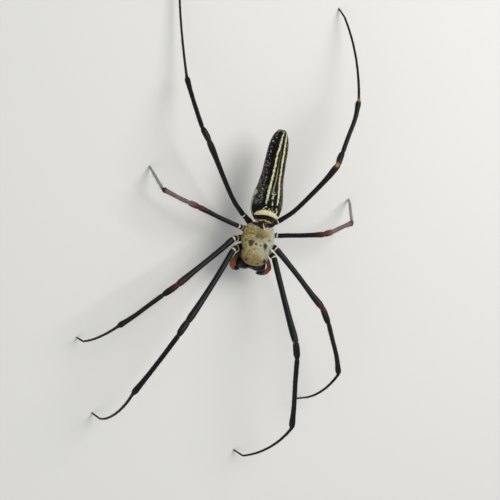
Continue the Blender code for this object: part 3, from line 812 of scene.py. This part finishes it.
# Degrees forward from straight out to the side and degrees of rise, for thigh, knee, shin and the
# metatarsus's start and end; then the toe's degrees forward.
LEG_POSES = {
    "L1": ((68, 25), (73, -2), (82, -3), (101, -35), (136, -58), 193),
    "R1": ((62, 22), (65, 22), (62, 0), (80, -32), (62, -76), -12),
    "L2": ((42, 13), (49, 3), (68, 2), (103, -27), (126, -66), 140),
    "R2": ((44, 16), (43, 5), (46, 5), (60, -41), (48, -68), -6),
    "L3": ((-12, 19), (-20, -25), (-26, -30), (-95, -48), (-80, -62), -80),
    "R3": ((-16, 5), (-14, -5), (-14, -12), (-55, -60), (-55, -60), -55),
    "L4": ((-62, 27), (-66, -30), (-79, -22), (-93, -23), (-118, -28), -125),
    "R4": ((-51, 14), (-51, -11), (-67, -35), (-72, -14), (-77, -2), -77),
}
# Joints are numbered root 0, hip 1, knuckle 2, knee 3, shin 4, ankle 5, heel 6, toe 7. Each leg bows to its
# front side by these mm at these numbers, and not at its root, heel and toe.
BOW_AT = (1.0, 2.0, 2.2, 2.5, 2.8, 3.0, 4.0, 4.3, 4.7, 5.0)
LEG_BOWS = {
    "L1": (0.0, 0.0, 0.08, 0.16, 0.16, 0.06, -0.05, -0.1, -0.4, -0.3),
    "R1": (-0.1, -0.2, 0.05, 0.27, 0.27, 0.15, -0.15, 0.1, 0.3, 0.28),
    "L2": (0.35, 0.6, 0.42, 0.3, 0.38, 0.25, 0.9, 0.6, 0.18, 0.5),
    "R2": (-0.15, -0.28, 0.0, 0.2, 0.35, 0.5, 0.6, 0.55, 0.5, 0.13),
    "L3": (0.45, 0.75, 0.6, 0.5, 0.25, 0.05, -0.1, -0.2, -0.2, -0.1),
    "R3": (0.0, 0.05, 0.2, 0.3, 0.3, 0.3, 0.33, 0.33, 0.22, 0.1),
    "L4": (0.2, 0.35, 1.3, 1.3, 0.88, 0.24, -0.24, 0.05, 0.57, 0.05),
    "R4": (0.15, 0.3, 1.02, 0.9, 0.45, 0.2, 0.08, 0.18, 0.24, 0.09),
}
HIP_GIRTH = ((0, 0.95), (0.35, 1.1), (0.8, 1.06), (1, 0.9), (1.3, 0.96), (1.7, 0.93))
SHIN_GIRTH = ((3.12, 1.0), (3.4, 1.07), (3.75, 1.04), (4, 0.75), (4.06, 0.79), (4.2, 0.77), (4.55, 0.75),
              (4.8, 0.83), (4.94, 0.98), (5, 0.68), (5.03, 0.5), (5.15, 0.46), (6, 0.34), (6.06, 0.31),
              (6.5, 0.31), (7, 0.27))
LEG_RINGS = (10, 8, 40, 16, 34, 44, 16)  # of each segment
CLAW = ((-0.12, 0.06, 0.045), (0.1, 0.1, 0.042), (0.24, 0.04, 0.03), (0.3, -0.05, 0.012))  # out, up, radius
GROOVE = (0.2, 0.13)  # how much thinner the leg is at a joint, over what half length
# Soft skin under the knee, shin and ankle, beside the knee and before the knee and ankle: joint number, mm
# past the joint, half length.
SOFT_SKIN = ((3, 0.1, 0.4), (4, 0.0, 0.25), (5, 0.1, 0.35), (3, -0.1, 0.4), (3, -0.25, 0.5), (5, -0.05, 0.45))
RING_CROWDING = 0.85  # how far a segment's rings crowd towards its ends
THIRD_FOOT = 1.2  # how much stouter the third feet are
TOE_TAPER = (0.17, 0.25)  # greatest radius at the toe's end, and how much more a mm before it
TOE_REACH = 1.5  # mm of the toe that are let down onto the floor
FLOOR_GAP = 0.004  # least height over the floor


def heading(mirror, forward, rise):
    """A unit direction from degrees forward and degrees of rise."""
    forward, rise = math.radians(forward), math.radians(rise)
    level = math.cos(rise)
    return np.array((mirror * math.cos(forward) * level, -math.sin(forward) * level, math.sin(rise)))


def leg_axis(code):
    """The joints' numbers and places along one leg."""
    mirror = 1 if code[0] == "L" else -1
    lengths = LEG_PAIRS[code[1]][2]
    thigh, knee, shin, start, end, toe_forward = LEG_POSES[code]
    root, knuckle = (np.array(spot) * (mirror, 1, 1) for spot in LEG_PAIRS[code[1]][:2])
    hip = root + (knuckle - root) * HIP_SHARE
    hip[2] = HIP_HEIGHT
    numbers, places = [0, 1, 2], [root, hip, knuckle]
    for turn, length in zip((thigh, knee, shin), lengths):
        numbers.append(numbers[-1] + 1)
        places.append(places[-1] + heading(mirror, *turn) * length)
    for step in range(METATARSUS_STEPS):
        share = (step + 0.5) / METATARSUS_STEPS
        turn = [a + (b - a) * share for a, b in zip(start, end)]
        numbers.append(5 + (step + 1) / METATARSUS_STEPS)
        places.append(places[-1] + heading(mirror, *turn) * lengths[3] / METATARSUS_STEPS)
    fall = math.degrees(math.asin((places[-1][2] - TOE_HEIGHT) / lengths[4]))
    numbers.append(7)
    places.append(places[-1] + heading(mirror, toe_forward, -fall) * lengths[4])
    return np.array(numbers, float), np.array(places)


def leg_rings(code):
    """Of a leg's rings the joint numbers, centres, radii and distances along the axis; and the joints'
    distances."""
    numbers, places = leg_axis(code)
    walked = walk(places)
    steps = [np.arange(count) / count for count in LEG_RINGS]
    number = np.concatenate([i + t - RING_CROWDING * np.sin(2 * math.pi * t) / (2 * math.pi)
                             for i, t in enumerate(steps)] + [[7]])
    s = np.interp(number, numbers, walked)
    joints = np.interp(range(8), numbers, walked)
    stout, thigh = LEG_PAIRS[code[1]][3:5]
    girth = [(at, radius * stout) for at, radius in HIP_GIRTH] + list(zip(THIGH_AT, thigh))
    foot_stout = THIRD_FOOT if code[1] == "3" else 1
    girth += [(at, radius * (stout if at < 6 else 1) * (foot_stout if at > 5 else 1))
              for at, radius in SHIN_GIRTH]
    radii = curve_through(girth)(number)[:, 0] - LEG_COAT
    radii = np.minimum(radii, TOE_TAPER[0] + TOE_TAPER[1] * (walked[-1] - s))
    bow = curve_through([(0, 0), *zip(BOW_AT, LEG_BOWS[code]), (6, 0), (7, 0)], tight=False)
    front = heading(1 if code[0] == "L" else -1, LEG_POSES[code][0][0] + 90, 0)
    for joint in joints[[1, 3, 4, 5, 6]]:
        radii = radii * (1 - GROOVE[0] * bell((s - joint - 0.05, GROOVE[1])))
    ease = np.minimum(np.minimum(0.9 * radii + 0.2, s), walked[-1] - s)
    centres = np.zeros((len(s), 3))
    for shift, weight in ((-1, 1), (-0.5, 2), (0, 3), (0.5, 2), (1, 1)):
        at = s + shift * ease
        straight = np.stack([np.interp(at, walked, places[:, axis]) for axis in range(3)], -1)
        centres += (straight + front * bow(np.interp(at, walked, numbers))) * weight / 9
    return number, centres, rounded_ends(s, walked[-1], radii), s, joints


def leg_colours(tree, pair):
    """Colour by segment, with cream rings at the hip and soft orange skin at the bends."""
    thigh, knee, shin, foot, soft = LEG_PAIRS[pair][5]
    fades = 0.56 if pair == "3" else 0.5
    ankle = "#2c1613" if pair == "3" else shin
    reddens = 0.395 if pair in "13" else 0.405
    place, along, ring, bend = carried(tree)
    # For the third pair the shin and foot colours are pale painted highlight.
    tone = add(tree, "ValToRGB", along, stops=(
        (0.0, "#1a100e"), (0.27, "#22150f"), (0.29, thigh), (reddens, thigh), (0.422, knee), (0.45, knee),
        (fades, shin), (0.69, shin), (0.706, ankle), (0.713, ankle), (0.725, foot), (1.0, foot)))[0]
    mottle = add(tree, "TexNoise", place, Scale=2.2, Detail=5.0, Roughness=0.65)[0]
    shade = add(tree, "ValToRGB", mottle, stops=((0.3, "#b4aca4"), (0.7, "#ffffff")))[0]
    tone = add(tree, "MixRGB", 1.0, tone, shade, blend_type="MULTIPLY")[0]
    cream = inside(tree, ring, mottle, 0.16, 0.23, 0.31)
    band = add(tree, "ValToRGB", along, stops=((0.18, "#c4b384"), (0.24, "#d6c996")))[0]
    tone = add(tree, "MixRGB", cream, tone, band)[0]
    amount = add(tree, "Math", bend, shade, operation="MULTIPLY", use_clamp=True)[0]
    return add(tree, "MixRGB", amount, tone, soft)[0], place


leg_finishes = {}
for pair in LEG_PAIRS:
    # Dark, waxy, half glossy cuticle.
    skin_finish, tree, shader = material(f"dark_cuticle_of_leg_pair_{pair}", 0.5, Specular_IOR_Level=0.25)
    colour, place = leg_colours(tree, pair)
    grain = add(tree, "TexNoise", place, Scale=6.0, Detail=4.0)[0]
    bump = add(tree, "Bump", Strength=0.5, Distance=0.00005, Height=grain)[0]
    wire(shader, Base_Color=colour, Normal=bump)
    # Fine dark hairs of the skin's own colours.
    hair_finish, tree, shader = material(f"hair_of_leg_pair_{pair}", 0.45, Specular_IOR_Level=0.15)
    wire(shader, Base_Color=leg_colours(tree, pair)[0])
    leg_finishes[pair] = skin_finish, hair_finish

# Horny dark brown claws.
claw_horn = material("claw_horn", 0.3, Base_Color="#1d0f0a")[0]

for order, code in enumerate(LEG_POSES):
    number, centres, radii, s, joints = leg_rings(code)
    # Distance from the cream rings: one just past the knuckle and one by the hip.
    outer_ring = joints[2] + (0.0 if code == "L3" else 0.18)
    narrower = 0.4 if code[1] == "4" else -0.02
    ring_from = np.minimum(np.abs(s - outer_ring), np.abs(s - joints[1] + 0.05) + narrower)
    knee_bend, shin_bend, ankle_bend, knee_side, knee_front, ankle_front = (
        bell((s - joints[joint] - past, half)) for joint, past, half in SOFT_SKIN)

    def leg_marks(ring, across, high):
        """How far along the leg, how far from a cream ring, and how much soft skin."""
        under = np.clip(0.55 - 0.9 * high, 0, 1)
        bend = (knee_bend + 0.5 * shin_bend + ankle_bend)[ring] * under
        if code in ("L1", "L2"):
            bend = np.maximum(bend, knee_side[ring] * np.clip(2.2 * across - 0.9, 0, 1))
        if code == "L4":
            bend = np.maximum(bend, 0.95 * ankle_front[ring])
            bend = np.maximum(bend, knee_front[ring] * np.clip(0.7 - 1.4 * across, 0, 1))
        return np.stack([number[ring] / 7, ring_from[ring], np.clip(bend, 0, 1)], -1)

    form = new_form()
    tube(form, centres, radii, sides=24, marks=leg_marks)
    # The tube's round end leaves a gap under the toe, which is let down until it touches the floor.
    gap = min(vert.co.z for vert in form.verts) + 0.02
    for vert in form.verts:
        near_toe = max(0.0, 1 - (vert.co - Vector(centres[-1])).length / TOE_REACH)
        vert.co.z = max(vert.co.z - gap * near_toe, FLOOR_GAP)
    nodes = [f"{part}_{code}" for part in ("coxa", "femur", "patella", "tibia", "metatarsus")]
    leg = settle(form, f"leg_{code}", leg_finishes[code[1]][0], "leg_femur", *nodes)
    grow_coat(f"leg_hairs_{code}", leg, leg_finishes[code[1]][1], 3600, (0.28, 0.55), 0.035, 17, 14,
              50 + order,
              lambda place, mark: np.clip(mark[:, 1] / 0.4, 0, 1) * (place[:, 2] > 0.7) * (1 - mark[:, 2]))
    grow_coat(f"leg_spines_{code}", leg, black_bristle, 60, (0.9, 1.5), 0.06, 42, 12, 70 + order,
              lambda place, mark: (mark[:, 0] > 0.31) * (mark[:, 0] < 0.84) * (place[:, 2] > 1.6)
              * (0.3 + 3 * (mark[:, 0] > 0.58)))

    toe = centres[-1] - (0, 0, 0.05)
    fore = centres[-1] - centres[-8]
    fore = unit(np.array((fore[0], fore[1], 0.0)))
    side = np.array((-fore[1], fore[0], 0.0))
    form = new_form()
    for across, reach in ((0.1, 1.0), (-0.1, 1.0), (0.0, 0.6)):
        rows = [(*(toe + fore * far * reach + side * across * (1 + far) + (0, 0, lift * reach)), radius)
                for far, lift, radius in CLAW]
        tube(form, *strand(rows, 12), sides=8)
    settle(form, f"claws_{code}", claw_horn, "dark_cuticle")


# ---------------- waist
# The short stalk between fore body and abdomen: soft dark skin. A narrow pale strip a little to its left,
# which runs from the shell's rear edge up the front of the abdomen, is a painted highlight: a glint along the
# stalk.

STALK = ((0.3, -1.25, 12.7, 0.55), (0.4, -0.7, 12.9, 0.7), (0.35, 0.2, 13.1, 0.75), (0.25, 1.0, 13.3, 0.8))
WAIST_GLINT_STRIP = ((1.5, -1.65, 13.95, 0.1), (1.25, -1.15, 13.72, 0.2), (0.78, -0.3, 13.72, 0.16),
               (0.48, 0.35, 14.05, 0.12), (0.34, 0.72, 14.75, 0.07))


def oval(wide, thick):
    """A tube's outline that is so many radii wide and thick."""
    return lambda across, high: 1 / np.hypot(across / wide, high / thick)


# Dark soft skin.
waist_skin = material("dark_waist_skin", 0.65, Base_Color="#1b1411")[0]

# Thin dull cream strip: painted highlight, a glint along the stalk's left side.
waist_glint_finish = material("painted_waist_highlight", 0.5, Base_Color="#cbc3a6")[0]

form = new_form()
tube(form, *strand(STALK, 30))
settle(form, "waist_stalk", waist_skin, "dark_cuticle", "pedicel")
form = new_form()
tube(form, *strand(WAIST_GLINT_STRIP, 20), sides=12, outline=oval(1.0, 0.45))
settle(form, "waist_glint_strip", waist_glint_finish, "dark_cuticle")


# ---------------- abdomen
# A long sack of velvety black skin. Two jagged yellow stripes run down its back from a cream band
# behind the shoulders; the flanks carry silver flecks and a yellow streak, the belly yellow spots.

ABDOMEN_ROWS = (
    (0.6, 0.0, 13.2, 13.1, 13.0), (0.62, 1.2, 14.0, 13.1, 12.4), (0.8, 2.2, 14.7, 13.3, 12.0),
    (1.3, 3.0, 15.5, 13.5, 11.6), (1.9, 3.4, 16.3, 13.8, 11.3), (2.4, 3.75, 17.0, 14.0, 10.95),
    (3.1, 4.1, 17.9, 14.3, 10.65), (4.3, 4.5, 18.8, 14.5, 10.2), (6.5, 4.75, 19.25, 14.6, 9.95),
    (9.5, 4.4, 19.25, 14.6, 9.95), (12.5, 3.75, 18.85, 14.5, 10.15), (15.5, 3.4, 18.35, 14.4, 10.45),
    (18.5, 3.25, 17.85, 14.3, 10.85), (21.5, 3.15, 17.35, 14.3, 11.25), (24.5, 2.95, 16.95, 14.2, 11.75),
    (26.8, 2.45, 16.55, 14.2, 12.25), (28.3, 1.65, 16.05, 14.3, 12.95), (29.1, 1.0, 15.5, 14.4, 13.5),
    (29.2, 0.0, 14.6, 14.4, 14.2),
)
ABDOMEN_MIDDLE = 14.3  # height of its axis
SHOULDER_LEAN = 0.5  # how far its front end bulges to the spider's left
PITS = (5.6, 9.0, 13.0, 17.0, 21.0)  # y of the pairs of muscle pits
# The pattern is turned a little to the spider's left: (y, x of its middle line at the top).
TWIST = ((2.0, 0.2), (7.0, 0.5), (10.0, 0.46), (12.5, 0.36), (15.0, 0.34), (18.0, 0.4), (21.5, 0.43),
         (24.0, 0.55), (27.0, 0.66), (28.2, 0.85), (29.0, 0.9))
# Stripes: (y, distance of each from the middle line, half width).
STRIPES = ((6.9, 1.8, 0.08), (7.6, 1.76, 0.19), (8.5, 1.7, 0.27), (10.5, 1.68, 0.31), (12.0, 1.46, 0.28),
           (14.0, 1.26, 0.26), (17.0, 1.15, 0.26), (19.0, 1.03, 0.25), (22.0, 1.02, 0.25), (23.5, 0.88, 0.24),
           (25.0, 0.73, 0.23), (27.0, 0.68, 0.19), (28.2, 0.6, 0.12), (28.9, 0.5, 0.08))
# The silver flecks: (y, height they reach up to).
FLECK_TOP = ((5.8, 18.5), (10.5, 18.6), (13.8, 17.8), (18.0, 17.0), (23.0, 16.5), (29.0, 15.9))
# Short pale dashes on the back: start and end (x, y) from the middle line, half width.
DASHES = (
    ((-2.3, 5.15), (-1.55, 6.25), 0.13), ((-0.8, 5.2), (-0.3, 5.85), 0.07), ((0.3, 5.9), (1.15, 5.1), 0.07),
    ((2.45, 4.5), (1.9, 5.95), 0.15), ((0.1, 5.05), (0.15, 5.3), 0.16), ((-1.7, 5.0), (-1.45, 5.3), 0.1),
    ((0.12, 6.9), (0.08, 7.6), 0.09), ((0.06, 8.0), (-0.1, 9.7), 0.1), ((-0.1, 9.5), (-0.66, 10.7), 0.07),
    ((-0.05, 9.5), (0.58, 10.4), 0.07), ((-0.1, 9.7), (-0.28, 12.0), 0.11), ((-0.3, 9.1), (-0.5, 8.5), 0.05),
)
BELLY_SPOTS = ((1.3, 5.6, 0.45), (1.5, 9.0, 0.42), (1.2, 12.5, 0.38), (0.9, 16.0, 0.32))


def abdomen_relief(places, angle):
    """Muscle pits, folds along the flanks and the distances from the markings' edges."""
    places = places + np.stack([SHOULDER_LEAN * bell((places[:, 1], 3.2)), 0 * angle, 0 * angle], -1)
    x, y, z = places.T

    def at_y(table, column=1):
        """A table's column at each place's y."""
        return np.interp(y, *np.array(table)[:, [0, column]].T)

    bx = x - at_y(TWIST) * np.clip(z - ABDOMEN_MIDDLE, -1, 1)
    upper = np.clip(np.sin(angle) * 3, 0, 1)
    lift = 0.05 * uneven(places * (1.0, 0.35, 1.0), 1.1, 3) - LEG_COAT
    for py in PITS:
        lift -= 0.1 * bell((np.abs(bx) - 2.3 + 0.03 * py, 0.3), (y - py, 0.3)) * upper
    centre = np.stack([0 * x, y, 0 * x + ABDOMEN_MIDDLE], -1)
    lifted = places + unit(places - centre) * lift[:, None]

    stripe = np.abs(np.abs(bx) - at_y(STRIPES)) - at_y(STRIPES, 2)
    stripe = np.maximum(stripe, np.maximum(STRIPES[0][0] - y, y - STRIPES[-1][0]))
    pale = [stripe] + [from_line(bx, y, start, end) - wide for start, end, wide in DASHES]
    back = np.where(z > 14.6, np.min(pale, axis=0), 3.0)
    blotch = 0.55 * np.clip((y - 2.0) / 4, 0.25, 1) + 0.5 * bell((y - 9.5, 0.8))
    blotch += 0.35 * uneven(places, 0.8, 6)
    streak = np.abs(z - 14.8 - 0.3 * np.clip(y - 8, 0, 1)) - blotch
    streak = np.where(np.abs(x) > 1.5, np.maximum(streak, np.maximum(3.0 - y, y - 10.4)), 3.0)
    belly = [(np.hypot((np.abs(x) - sx) / 1.0, (y - sy) / 1.5)) - size for sx, sy, size in BELLY_SPOTS]
    belly.append(np.maximum(np.abs(y - 4.7) - 0.16, np.abs(x) - 2.4))
    belly = np.where(z < 12.2, np.min(belly, axis=0), 3.0)

    teeth = uneven(np.stack([x, 0 * x, 0 * x], -1), 0.42, 4)
    front = 3.6 - 0.075 * (x + 0.2) ** 2 + 0.1 * uneven(places, 0.6, 8)
    rear = 5.1 - 0.08 * (x + 0.6) ** 2 - 0.3 * np.clip(-2.6 - x, 0, 2) + 0.8 * np.clip(teeth, -0.15, 1)
    foot = np.where(x < 0, 15.3 + 1.5 * (y - 2.7), 15.3 - 0.35 * x)
    band = np.maximum(np.maximum(front - y, y - rear), foot - z)
    ochre = np.abs(z - 16.0 + 0.28 * (x - 0.2) ** 2 - 0.5 * uneven(places, 1.0, 5)) - 0.3
    ochre = np.where(y < 3.0, np.clip(np.maximum(ochre, np.abs(x) - 3.7), -1, 2.9), 3.0)
    flecked = np.clip((at_y(FLECK_TOP) + 0.6 * uneven(places, 1.5, 9) - z) / 0.5, 0, 1)
    flecked *= np.clip((y - 5.6) / 1.2, 0, 1)
    ochre += np.where(y < 3.0, 0, flecked)
    return lifted, np.stack([np.minimum(np.minimum(back, streak), belly), band, ochre], -1)


def abdomen_colours(tree):
    """Black ground with silver flecks, grey middle line, yellow stripes and spots, cream band, ochre line."""
    place, stripe, band, ochre = carried(tree)
    x, y, z = add(tree, "SeparateXYZ", place)
    coarse = add(tree, "TexNoise", place, Scale=1.4, Detail=5.0, Roughness=0.65)[0]
    fine = add(tree, "TexNoise", place, Scale=3.4, Detail=3.0)[0]
    tone = add(tree, "ValToRGB", coarse, stops=((0.4, "#060505"), (0.7, "#100e0b")))[0]
    lower = add(tree, "MapRange", z, 14.6, 16.0, 0.95, 0.0)[0]
    ahead = add(tree, "MapRange", y, 1.6, 3.0, 1.0, 0.0)[0]
    brown = add(tree, "Math", lower, ahead, operation="MULTIPLY")[0]
    tone = add(tree, "MixRGB", brown, tone, "#46321f")[0]

    stretched = add(tree, "VectorMath", place, (1.0, 0.75, 1.0), operation="MULTIPLY")[0]
    allowed = add(tree, "MapRange", ochre, 3.1, 3.9)[0]
    for scale, near_head, near_tail, colour in ((3.4, 0.22, 0.04, "#8b8c80"), (2.0, -0.02, 0.08, "#dfe1d6")):
        cells = add(tree, "TexVoronoi", stretched, Scale=scale)[0]
        reach = add(tree, "MapRange", y, 8.0, 17.0, near_head, near_tail)[0]
        gap = add(tree, "Math", coarse, 0.2, cells, operation="MULTIPLY_ADD")[0]
        gap = add(tree, "Math", gap, reach, operation="SUBTRACT")[0]
        fleck = add(tree, "MapRange", gap, 0.22, 0.3, 1.0, 0.0)[0]
        fleck = add(tree, "Math", fleck, allowed, operation="MULTIPLY")[0]
        tone = add(tree, "MixRGB", fleck, tone, colour)[0]

    drift = add(tree, "MapRange", y, 11.5, 14.2, 0.33, 0.0)[0]
    aside = add(tree, "Math", x, drift, operation="ADD")[0]
    near = add(tree, "Math", aside, 0.33, 0.11, operation="COMPARE")[0]
    tailward = add(tree, "Math", y, 30.0, operation="DIVIDE")[0]
    strength = add(tree, "ValToRGB", tailward, stops=(
        (0.33, "#000000"), (0.39, "#c0c0c0"), (0.42, "#f0f0f0"), (0.57, "#e8e8e8"), (0.61, "#707070"),
        (0.72, "#808080"), (0.8, "#000000")))[0]
    above = add(tree, "MapRange", z, 14.6, 14.8)[0]
    broken = add(tree, "MapRange", fine, 0.3, 0.55, 0.35)[0]
    for part in (strength, above, broken):
        near = add(tree, "Math", near, part, operation="MULTIPLY")[0]
    tone = add(tree, "MixRGB", near, tone, "#b0a684")[0]

    scallop = add(tree, "TexNoise", place, Scale=1.9, Detail=3.0, Roughness=0.6)[0]
    rough = add(tree, "Math", scallop, fine, operation="ADD")[0]
    on_stripe = inside(tree, stripe, rough, 1.0, 0.96, 1.02)
    yellow = add(tree, "ValToRGB", coarse, stops=((0.35, "#bdb374"), (0.65, "#e8e5bb")))[0]
    faded = add(tree, "Math", x, 0.42, 1.0, operation="COMPARE")[0]
    for ends in ((6.2, 6.4, 0.0, 1.0), (12.5, 13.0, 1.0, 0.0)):
        part = add(tree, "MapRange", y, *ends)[0]
        faded = add(tree, "Math", faded, part, operation="MULTIPLY")[0]
    yellow = add(tree, "MixRGB", faded, yellow, "#bdbea8")[0]
    tone = add(tree, "MixRGB", on_stripe, tone, yellow)[0]

    on_band = inside(tree, band, fine, 0.4, 0.17, 0.27)
    cream = add(tree, "ValToRGB", fine, stops=((0.3, "#ab9058"), (0.42, "#d8cc93"), (0.65, "#efecc9")))[0]
    tone = add(tree, "MixRGB", on_band, tone, cream)[0]

    on_ochre = inside(tree, ochre, fine, 0.4, 0.15, 0.25)
    return add(tree, "MixRGB", on_ochre, tone, "#c6ad72")[0], fine


# Tight velvety skin, half matt, finely pitted.
abdomen_skin, tree, shader = material("velvety_abdomen_skin", 0.5, Specular_IOR_Level=0.15)
colour, fine = abdomen_colours(tree)
bump = add(tree, "Bump", Strength=0.45, Distance=0.00008, Height=fine)[0]
wire(shader, Base_Color=colour, Normal=bump)

# Fine hairs that take the colour of the skin they stand on.
abdomen_hair, tree, shader = material("abdomen_hair", 0.5, Specular_IOR_Level=0.1)
wire(shader, Base_Color=abdomen_colours(tree)[0])

form = new_form()
wrap(form, 136, 170, body_shape(ABDOMEN_ROWS, abdomen_relief))
abdomen = settle(form, "abdomen_skin", abdomen_skin, "abdomen", "abdomen")
grow_coat("abdomen_hairs", abdomen, abdomen_hair, 16000, (0.22, 0.4), 0.035, 14, 16, 91,
          lambda place, mark: 0.25 + (place[:, 1] > 1.8))


# ---------------- underside of the abdomen
# Horny brown plates in front of the belly fold, one over each book lung and one round the egg pore,
# and farther back the silk spinnerets: six jointed cones and a small tubercle on a low mound.

LUNG_PLATE = ((1.5, 2.6, 11.25, 0.4), (1.7, 3.3, 10.95, 0.62), (1.75, 4.0, 10.72, 0.5))
EGG_PLATE = ((0.0, 3.9, 10.55, 0.35), (0.0, 4.35, 10.38, 0.5), (0.0, 4.75, 10.38, 0.3))
MOUND = ((0.0, 21.1, 11.5, 0.9), (0.0, 21.3, 11.0, 1.05), (0.0, 21.5, 10.5, 1.05), (0.0, 21.7, 10.2, 0.8))
TUBERCLE = ((0.0, 22.3, 11.0, 0.3), (0.0, 22.7, 10.7, 0.3), (0.0, 22.95, 10.4, 0.16))
# Each cone's foot, tip and radius, and how thick it is over that at shares of its length.
CONES = (((0.5, 21.15, 10.5), (0.32, 21.3, 9.5), 0.36), ((0.55, 21.95, 10.5), (0.34, 22.3, 9.45), 0.34),
         ((0.22, 21.6, 10.4), (0.12, 21.85, 9.7), 0.18))
CONE_GIRTH = ((0, 1.0), (0.35, 1.0), (0.5, 0.8), (0.6, 0.88), (0.85, 0.75), (1, 0.35))

# Horny brown plate, lightly ridged.
belly_horn = mottled("brown_belly_plate", 0.4, 2.4, 3.0, (0.3, "#2a1912"), (0.7, "#553522"))[0]

form = new_form()
for mirror in (1, -1):
    tube(form, *strand(mirrored(LUNG_PLATE, mirror), 18), outline=oval(1.3, 0.5))
tube(form, *strand(EGG_PLATE, 18), outline=oval(1.2, 0.7))
settle(form, "belly_plates", belly_horn, "dark_cuticle")

form = new_form()
tube(form, *strand(MOUND, 18), sides=28, up=(0, 1, 0))
for mirror in (1, -1):
    for start, end, radius in CONES:
        start, end = (np.array(spot) * (mirror, 1, 1) for spot in (start, end))
        rows = [(*(start + (end - start) * t), radius * girth) for t, girth in CONE_GIRTH]
        tube(form, *strand(rows, 16), sides=16, up=(0, 1, 0))
tube(form, *strand(TUBERCLE, 10), sides=14, up=(1, 0, 0))
settle(form, "spinneret_cones", belly_horn, "dark_cuticle", "spinnerets")


# ---------------- room
# A plain pale floor and soft studio light: one broad lamp above the spider's left and tail, a weaker
# one above its right and head, and an even pale surround.

VIEW_LEAN = (14.0, -7.0)  # degrees from straight down, to the right side and to the tail
VIEW_ROLL = 12.0  # degrees the body is turned in the picture
VIEW_AIM = (0.0, 0.0, 14.0)  # mm; this point lies beside and below the middle of the picture by
VIEW_OFFSET = (-3.51, -7.5)  # these mm, to the right and up
VIEW_DISTANCE = 500.0
VIEW_WIDTH = 150.0  # mm across the picture at the aim's distance
SENSOR = 36.0
# Lamps: place and size in metres, watts.
LAMPS = (("key", (0.22, 0.26, 0.42), 0.3, 2.4), ("fill", (-0.25, -0.35, 0.35), 0.4, 0.7))

floor_form = bmesh.new()
bmesh.ops.create_grid(floor_form, x_segments=1, y_segments=1, size=3.0)
floor_mesh = bpy.data.meshes.new("floor")
floor_form.to_mesh(floor_mesh)
floor_form.free()
floor_mesh.materials.append(material("matt_pale_floor", 0.9, Base_Color="#dcdad4")[0])
new_object("floor", floor_mesh)

lean_right, lean_tail = (math.tan(math.radians(lean)) for lean in VIEW_LEAN)
toward = Vector((-lean_right, -lean_tail, 1.0)).normalized()
tailward = (Vector((0, 1, 0)) - toward * toward.y).normalized()
leftward = tailward.cross(toward)
roll = math.radians(VIEW_ROLL)
view_up = tailward * math.cos(roll) - leftward * math.sin(roll)
view_right = tailward * math.sin(roll) + leftward * math.cos(roll)
aim = Vector(VIEW_AIM) + view_right * VIEW_OFFSET[0] + view_up * VIEW_OFFSET[1]
camera_data = bpy.data.cameras.new("camera")
camera_data.sensor_width = SENSOR
camera_data.lens = SENSOR * VIEW_DISTANCE / VIEW_WIDTH
camera = new_object("camera", camera_data)
axes = Matrix((view_right, view_up, toward)).transposed().to_4x4()
camera.matrix_world = Matrix.Translation(WAIST + (aim + toward * VIEW_DISTANCE) * MM) @ axes
camera_data.clip_start = 0.05
bpy.context.scene.camera = camera

for name, spot, size, power in LAMPS:
    lamp_data = bpy.data.lights.new(name, "AREA")
    lamp_data.size = size
    lamp_data.energy = power
    lamp = new_object(name, lamp_data)
    lamp.location = spot
    lamp.rotation_euler = (-Vector(spot)).to_track_quat("-Z", "Y").to_euler()

world = bpy.data.worlds.new("surround")
bpy.context.scene.world = world
world.use_nodes = True
wire(world.node_tree.nodes["Background"], "#e8ecf2", 0.45)
bpy.context.scene.view_settings.view_transform = "Standard"
